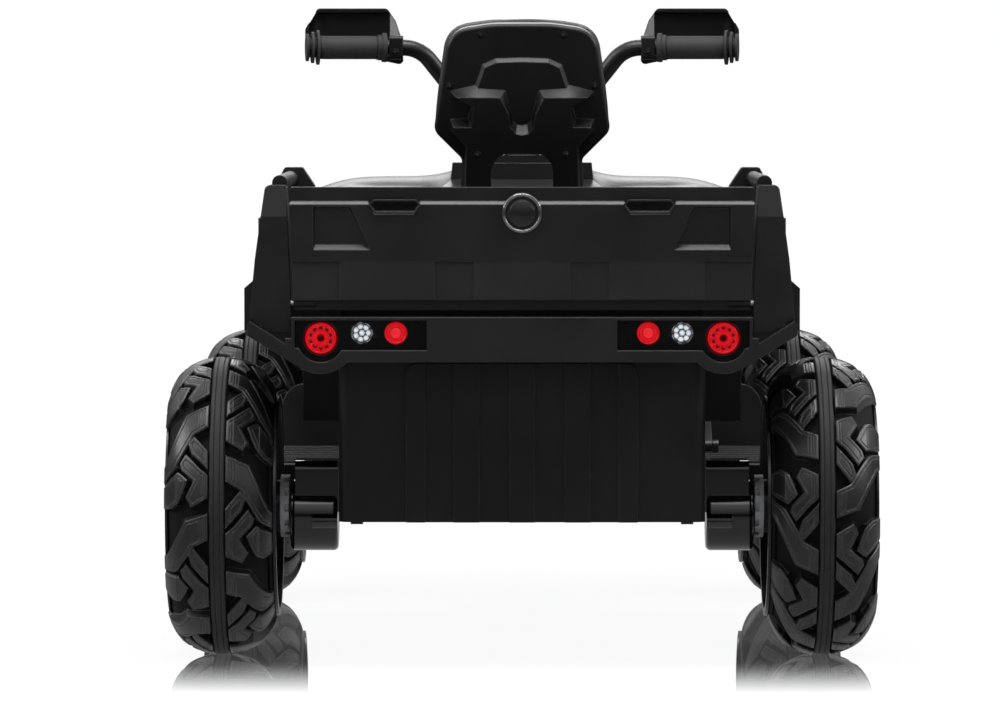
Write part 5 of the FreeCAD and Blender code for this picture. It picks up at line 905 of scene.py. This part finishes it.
def makeHood():
    height, mask = skinHeights(nodes["front_body"])
    soft, weight = height * mask, mask.copy()
    for number in range(skin["passes"]):
        soft, weight = boxBlur(soft), boxBlur(weight)
    soft = soft / np.maximum(weight, 0.001)
    near = mask.copy()
    for number in range(skin["edgePasses"]):
        near = boxBlur(near) * mask
    share = np.clip((near - skin["edgeFrom"]) / skin["edgeSpan"], 0, 1)
    share = share * share * (3 - 2 * share)
    top = height + share * np.maximum(soft + skin["lift"] - height, 0) + skin["rest"]
    points, index = [], {}
    for i in range(mask.shape[0]):
        for j in range(mask.shape[1]):
            if mask[i, j]:
                index[i, j] = len(points)
                points.append((-skin["halfWidth"] + i * skin["step"], skin["ends"][0] + j * skin["step"], top[i, j]))
    faces = []
    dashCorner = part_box("dash_panel")[1]
    openX = dashCorner.x - skin["underDash"]
    openY = dashCorner.y - skin["underDash"] - skin["step"]
    for i, j in index:
        ring = [(i, j), (i + 1, j), (i + 1, j + 1), (i, j + 1)]
        if all(corner in index for corner in ring):
            # open under the dash panel, where the switches dip
            x, y, z = points[index[i, j]]
            if abs(x + skin["step"] / 2) < openX and y < openY:
                continue
            tall = [points[index[corner]][2] for corner in ring]
            if max(tall) - min(tall) < skin["tallest"] * skin["step"]:
                faces.append(tuple(index[corner] for corner in ring))
    mesh = bpy.data.meshes.new("hood_skin")
    mesh.from_pydata(points, [], faces)
    hood = newObject("hood_skin", mesh)
    editMode(hood, "VERT")
    bpy.ops.mesh.select_loose()
    bpy.ops.mesh.delete(type="VERT")
    objectMode()
    addModifier(hood, "SOLIDIFY", thickness=skin["wall"], offset=-1)
    applyModifiers(hood)
    smooth(hood, 50)
    dress(hood, finishes["black_plastic"])
    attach(hood, bodyOf["front_body"])
    print("hood skin ready:", len(hood.data.polygons), "faces")


makeHood()

# Lamps: three kinds on each side, seen from behind
lamps = {
    "face": -0.533,
    "tail": {"x": 0.197, "z": 0.3264, "flutes": 20, "flute": 0.0009, "dots": 10, "dotRing": 0.0101, "dotSize": 0.0016,
             "profile": [(0.0, 0.0155), (0.0064, 0.0155), (0.0076, 0.0149), (0.0079, 0.0141), (0.0076, 0.0134),
                         (0.0070, 0.0131), (0.0072, 0.0122), (0.0075, 0.0105), (0.0077, 0.0086), (0.0078, 0.0068),
                         (0.0080, 0.0054), (0.0080, 0.0042), (0.0070, 0.0036), (0.0052, 0.0030), (0.0050, 0.0)],
             "bezel": [(0.0036, 0.0153), (0.0050, 0.0156), (0.0052, 0.0166), (0.0047, 0.0177), (0.0036, 0.0180)]},
    "stop": {"x": 0.1235, "z": 0.3314,
             "profile": [(0.0, 0.0112), (0.0064, 0.0112), (0.0076, 0.0106), (0.0079, 0.0097), (0.0074, 0.0089),
                         (0.0066, 0.0086), (0.0068, 0.0074), (0.0070, 0.0062), (0.0064, 0.0058), (0.0060, 0.0)],
             "core": [(0.0058, 0.0052), (0.0072, 0.0050), (0.0077, 0.0040), (0.0079, 0.0)]},
    "clear": {"x": 0.1568, "z": 0.3314, "rings": [(0.0, 1), (0.0066, 7)], "stud": 0.0029, "studHeight": 0.0030,
              "cover": [(0.0, 0.0107), (0.0060, 0.0107), (0.0074, 0.0099), (0.0080, 0.0078), (0.0080, 0.0),
                        (0.0072, 0.0), (0.0072, 0.0075), (0.0066, 0.0094), (0.0056, 0.0101), (0.0, 0.0101)],
              "dish": [(0.0002, 0.0100), (0.0034, 0.0098), (0.0022, 0.0090), (0.0012, 0.0)]},
}
toRear = Matrix.Rotation(-math.pi / 2, 4, "Z")


def fluted(obj, count, size, low, high):
    for vertex in obj.data.vertices:
        radius = math.hypot(vertex.co.y, vertex.co.z)
        if low < radius < high:
            share = math.sin(math.pi * (radius - low) / (high - low))
            vertex.co.x += size * share * math.cos(count * math.atan2(vertex.co.z, vertex.co.y))


def placeLamps(master, name, lamp, node, body):
    for side, sign in (("left", -1), ("right", 1)):
        place = Matrix.Translation((sign * lamp["x"], lamps["face"], lamp["z"])) @ toRear
        piece = copyOf(master, f"{name}_{side}", place)
        if node:
            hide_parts(node)
        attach(piece, body)
    bpy.data.objects.remove(master)


def makeTailLamps():
    lamp = lamps["tail"]
    body = bodyOf["tail_lenses"]
    lens = spun("tailLens", lamp["profile"], 120, angle=50)
    fluted(lens, lamp["flutes"], lamp["flute"], 0.0056, 0.0130)
    dress(lens, finishes["red_lens"])
    placeLamps(lens, "tail_lens_visual", lamp, "tail_lenses", body)
    dots = []
    for number in range(lamp["dots"]):
        angle = math.tau * (number + 0.5) / lamp["dots"]
        spot = (0.0074, lamp["dotRing"] * math.cos(angle), lamp["dotRing"] * math.sin(angle))
        bpy.ops.mesh.primitive_uv_sphere_add(segments=16, ring_count=8, radius=lamp["dotSize"], location=spot)
        dots.append(bpy.context.object)
    bpy.ops.mesh.primitive_cylinder_add(vertices=32, radius=0.0033, depth=0.0006, location=(0.0054, 0, 0),
                                        rotation=(0, math.pi / 2, 0))
    dots.append(bpy.context.object)
    dark = joined(dots, "tailDots")
    settle(dark)
    smooth(dark, 40)
    dress(dark, redDeep)
    placeLamps(dark, "tail_dots_visual", lamp, None, body)
    bezel = spun("tailBezel", lamp["bezel"] + lamp["bezel"][:1], 96, angle=40)
    dress(bezel, redDeep)
    placeLamps(bezel, "tail_bezel_visual", lamp, None, body)


def makeStopLamps():
    lamp = lamps["stop"]
    body = bodyOf["stop_lenses"]
    lens = spun("stopLens", lamp["profile"], 96, angle=50)
    fluted(lens, 24, 0.0006, 0.0060, 0.0088)
    dress(lens, finishes["red_lens"])
    placeLamps(lens, "stop_lens_visual", lamp, "stop_lenses", body)
    core = spun("stopCore", lamp["core"], 48, angle=40)
    dress(core, redBright)
    placeLamps(core, "stop_core_visual", lamp, None, body)


def makeReversingLamps():
    lamp = lamps["clear"]
    body = bodyOf["reversing_lenses"]
    cover = spun("clearCover", lamp["cover"] + lamp["cover"][:1], 64, angle=40)
    dress(cover, finishes["clear_lens"])
    placeLamps(cover, "reversing_lens_visual", lamp, "reversing_lenses", body)
    dish = spun("clearDish", lamp["dish"], 48, angle=40)
    dress(dish, finishes["badge_plastic"])
    placeLamps(dish, "reversing_dish_visual", lamp, None, body)
    studs = []
    for radius, count in lamp["rings"]:
        for number in range(count):
            angle = math.tau * number / count
            bpy.ops.mesh.primitive_cone_add(vertices=6, radius1=lamp["stud"], radius2=lamp["stud"] * 0.45,
                                            depth=lamp["studHeight"],
                                            location=(0.0036, radius * math.cos(angle), radius * math.sin(angle)),
                                            rotation=(0, math.pi / 2, 0))
            studs.append(bpy.context.object)
    cluster = joined(studs, "clearStuds")
    settle(cluster)
    dress(cluster, ledWhite)
    placeLamps(cluster, "reversing_led_visual", lamp, None, body)


makeTailLamps()
makeStopLamps()
makeReversingLamps()

# Plain round badge with a satin ring
badge = {"ring": (0.0168, 0.0194),
         "profile": [(0.0, 0.0200), (0.0032, 0.0200), (0.0042, 0.0192), (0.0042, 0.0172), (0.0034, 0.0166),
                     (0.0034, 0.0128), (0.0046, 0.0120), (0.0056, 0.0080), (0.0060, 0.0)]}


def makeBadge():
    low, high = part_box("tailgate_badge")
    centre = (low + high) / 2
    disc = spun("tailgate_badge_visual", badge["profile"], 96, angle=35)
    dress(disc, finishes["badge_plastic"], chrome)
    for face in disc.data.polygons:
        radius = math.hypot(face.center.y, face.center.z)
        face.material_index = 1 if badge["ring"][0] < radius < badge["ring"][1] and face.center.x > 0.0033 else 0
    disc.data.transform(Matrix.Translation((centre.x, low.y + 0.006, centre.z)) @ toRear)
    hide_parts("tailgate_badge")
    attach(disc, bodyOf["tailgate_badge"])


makeBadge()

# Cross-head screws, one model set down wherever a screw shows
screws = {
    "backrest_shell": {"radius": 0.0037, "from": (0, -1, 0), "spots": [(0.042, 0.625), (0.074, 0.573), (0.045, 0.503)]},
    "hand_guard": {"radius": 0.0040, "from": (0, -1, 0), "spots": [(0.138, 0.610)]},
    "lamp_panels": {"radius": 0.0021, "from": (0, -1, 0), "spots": [(0.1440, 0.3290), (0.1026, 0.3400)]},
}


def makeScrew():
    head = spun("screw", [(-0.05, 1.0), (0.06, 1.0), (0.16, 0.88), (0.19, 0.55), (0.20, 0.0)], 32, angle=40)
    slots = []
    for turn in (0, math.pi / 2):
        bpy.ops.mesh.primitive_cube_add(size=1, location=(0.17, 0, 0), rotation=(turn, 0, 0))
        bar = bpy.context.object
        bar.scale = (0.10, 1.05, 0.24)
        settle(bar)
        slots.append(bar)
    cross = joined(slots, "cross")
    # the heads take the same near-black as the tyre's painted groove shade
    dress(head, grooveShadeBlack)
    dress(cross, finishes["gloss_black"])
    return joined([head, cross], "screw")


def setScrews():
    master = makeScrew()
    for node, screw in screws.items():
        for x, z in screw["spots"]:
            for side, sign in (("left", -1), ("right", 1)):
                name = node if node in nodes else f"{node}_{side}"
                surface = nodes[name]
                start = surface.matrix_world.inverted() @ Vector((sign * x, -1.0, z))
                hit, place, normal, index = surface.ray_cast(start, Vector((0, 1, 0)))
                if not hit:
                    print("no surface for a screw at", name, sign * x, z)
                    continue
                turn = normal.to_track_quat("X", "Z").to_matrix().to_4x4()
                move = Matrix.Translation(place) @ turn @ Matrix.Scale(screw["radius"], 4)
                piece = copyOf(master, f"screw_{name}_{side}_{round(z * 1000)}", move)
                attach(piece, bodyOf[name])
    bpy.data.objects.remove(master)


setScrews()

# Knurled sleeves on the grips
grip = {"start": (0.112, 0.150, 0.615), "end": (0.233, 0.135, 0.615), "from": 0.0468, "to": 0.1095, "radius": 0.0121,
        "around": 96, "rings": 76, "lines": 24, "pitch": 0.0036, "depth": 0.0007}


def makeGrips():
    start, end = Vector(grip["start"]), Vector(grip["end"])
    run = (end - start).normalized()
    for side, sign in (("left", -1), ("right", 1)):
        flip = mirrorX() if sign < 0 else Matrix.Identity(4)
        radius = grip["radius"]
        length = grip["to"] - grip["from"]
        bpy.ops.mesh.primitive_cylinder_add(vertices=grip["around"], radius=radius, depth=length,
                                            end_fill_type="NOTHING")
        sleeve = bpy.context.object
        sleeve.name = f"grip_sleeve_{side}"
        editMode(sleeve, "EDGE")
        choose(sleeve, "edges", lambda edge: abs(edge.verts[0].co.z - edge.verts[1].co.z) > length / 2)
        bpy.ops.mesh.subdivide(number_cuts=grip["rings"])
        objectMode()
        for vertex in sleeve.data.vertices:
            angle = math.atan2(vertex.co.y, vertex.co.x)
            wave = math.tau * vertex.co.z / grip["pitch"]
            spin = grip["lines"] * angle
            knurl = abs(math.sin((spin + wave) / 2)) * abs(math.sin((spin - wave) / 2))
            ends = min(1.0, (length / 2 - abs(vertex.co.z)) / 0.002)
            rise = 1 + (0.0001 + grip["depth"] * knurl * ends) / radius
            vertex.co.x *= rise
            vertex.co.y *= rise
        turn = run.to_track_quat("Z", "Y").to_matrix().to_4x4()
        middle = start + run * (grip["from"] + grip["to"]) / 2
        sleeve.data.transform(flip @ Matrix.Translation(middle) @ turn)
        outward(sleeve)
        addModifier(sleeve, "SOLIDIFY", thickness=0.0012, offset=-1)
        applyModifiers(sleeve)
        smooth(sleeve, 60)
        dress(sleeve, finishes["grip_rubber"])
        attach(sleeve, bodyOf[f"grip_{side}"])


makeGrips()

# Foot of each pillar, closed down to the bumper's wing
foot = {"rear": -0.5262, "front": -0.5150,
        "outline": [(0.2560, 0.3340), (0.2285, 0.3340), (0.2285, 0.3450), (0.2190, 0.3450), (0.2190, 0.3140),
                    (0.2290, 0.3150)]}


def makeFeet():
    for side, sign in (("left", -1), ("right", 1)):
        piece = slab(f"pillar_foot_{side}", foot["outline"], sign, foot["rear"], foot["front"])
        dress(piece, finishes["black_plastic"])
        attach(piece, bodyOf["rear_body"])


makeFeet()

# Hand pockets in the tailgate's top edge, their floors painted darker as shade
pocket = {"rear": -0.5336, "front": -0.5300, "lip": 0.0012, "sink": 0.0016,
          "outline": [(0.1507, 0.4565), (0.1458, 0.4620), (0.1038, 0.4620), (0.0989, 0.4567), (0.1047, 0.4488),
                      (0.1439, 0.4488)]}


def makePockets():
    for side, sign in (("left", -1), ("right", 1)):
        piece = slab(f"hand_pocket_{side}", pocket["outline"], sign, pocket["front"], pocket["rear"])
        editMode(piece)
        choose(piece, "faces", lambda face: face.normal.y < -0.9)
        bpy.ops.mesh.inset(thickness=pocket["lip"], depth=0)
        bpy.ops.mesh.inset(thickness=pocket["lip"] * 0.4, depth=-pocket["sink"])
        objectMode()
        dress(piece, finishes["black_plastic"], finishes["gloss_black"])
        # the sunken floor gets the darker gloss black: painted shade in the recess
        floorY = pocket["rear"] + pocket["sink"]
        for face in piece.data.polygons:
            inner = all(abs(piece.data.vertices[i].co.y - floorY) < 0.0003 for i in face.vertices)
            face.material_index = 1 if inner else 0
        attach(piece, bodyOf["tailgate"])


makePockets()
print("lamps, badge, screws and grips ready")


# Pads: blown up by a short cloth run, seams pressed in, piping laid on
pads = {
    "seat_pad": {"voxel": 0.005, "shrink": 0.985, "pressure": 4.0, "cap": 0.009, "fill": 0.55,
                 "channels": [("Y", -0.150), ("Y", -0.045)], "channelWidth": 0.006, "channelDepth": 0.0050,
                 "face": (0, 0, 1), "piping": ("Z", 0.393), "pipe": 0.0021},
    "backrest_pad": {"voxel": 0.005, "shrink": 0.985, "pressure": 4.0, "cap": 0.008, "fill": 0.5,
                     "channels": [("Z", 0.520), ("Z", 0.585)], "channelWidth": 0.006, "channelDepth": 0.0045,
                     "face": (0, 1, 0), "piping": ("Y", None), "pipe": 0.0019},
}
clothRun = {"frames": 20, "quality": 6, "under": 0.004, "over": 0.006}


def makePad(name):
    pad = pads[name]
    node = nodes[name]
    low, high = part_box(name)
    middle = (low + high) / 2
    cover = newObject(f"{name}_visual", node.data.copy())
    outward(cover)
    cover.data.transform(Matrix.Translation(middle) @ Matrix.Scale(pad["shrink"], 4) @ Matrix.Translation(-middle))
    cover.data.remesh_voxel_size = pad["voxel"]
    pick(cover)
    bpy.ops.object.voxel_remesh()
    before = [vertex.co.copy() for vertex in cover.data.vertices]
    cloth = addModifier(cover, "CLOTH")
    cloth.settings.use_pressure = True
    cloth.settings.uniform_pressure_force = pad["pressure"]
    cloth.settings.effector_weights.gravity = 0.0
    cloth.settings.quality = clothRun["quality"]
    cloth.point_cache.frame_start = 1
    cloth.point_cache.frame_end = clothRun["frames"]
    for number in range(1, clothRun["frames"] + 1):
        bpy.context.scene.frame_set(number)
    applyModifiers(cover)
    bpy.context.scene.frame_set(1)
    for vertex, old in zip(cover.data.vertices, before):
        moved = vertex.co - old
        if moved.length > pad["cap"]:
            vertex.co = old + moved.normalized() * pad["cap"]
    cover.data.update()
    # the pad stays in its own box, with a hair over it
    for vertex in cover.data.vertices:
        for axis in range(3):
            vertex.co[axis] = min(max(vertex.co[axis], low[axis] - clothRun["under"]), high[axis] + clothRun["over"])
    pressSeams(cover, pad)
    addModifier(cover, "SUBSURF", levels=1, render_levels=1)
    applyModifiers(cover)
    smooth(cover, 60)
    dress(cover, finishes["seat_leather"])
    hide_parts(name)
    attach(cover, bodyOf[name])
    return cover


def pressSeams(cover, pad):
    face = Vector(pad["face"])
    axes = {"X": 0, "Y": 1, "Z": 2}
    normals = [vertex.normal.copy() for vertex in cover.data.vertices]
    for vertex, normal in zip(cover.data.vertices, normals):
        up = max(0.0, normal.dot(face))
        for axis, place in pad["channels"]:
            away = abs(vertex.co[axes[axis]] - place)
            if away < pad["channelWidth"] * 1.6:
                vertex.co -= normal * pad["channelDepth"] * up * math.exp(-(away / pad["channelWidth"] * 1.5) ** 2)
    cover.data.update()


def makePiping(name, cover, axis, place, radius):
    # the cover's own section at one level, given a round cord
    cord = copyOf(cover, f"{name}_piping")
    normal = Vector((axis == "X", axis == "Y", axis == "Z"))
    editMode(cord)
    bpy.ops.mesh.select_all(action="SELECT")
    bpy.ops.mesh.bisect(plane_co=normal * place, plane_no=normal, clear_inner=True, clear_outer=True)
    objectMode()
    if not cord.data.edges:
        bpy.data.objects.remove(cord)
        print("no section for piping on", name)
        return
    cord.data.materials.clear()
    pick(cord)
    bpy.ops.object.convert(target="CURVE")
    cord = bpy.context.object
    cord.data.bevel_depth = radius
    cord.data.bevel_resolution = 3
    bpy.ops.object.convert(target="MESH")
    cord = bpy.context.object
    cord.name = f"{name}_piping"
    outward(cord)
    smooth(cord, 60)
    dress(cord, thread)
    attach(cord, bodyOf[name])


for name, pad in pads.items():
    cover = makePad(name)
    axis, place = pad["piping"]
    if place is None:
        low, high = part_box(name)
        place = low.y * 0.45 + high.y * 0.55
    makePiping(name, cover, axis, place, pad["pipe"])
print("pads ready")


bpy.context.view_layer.update()
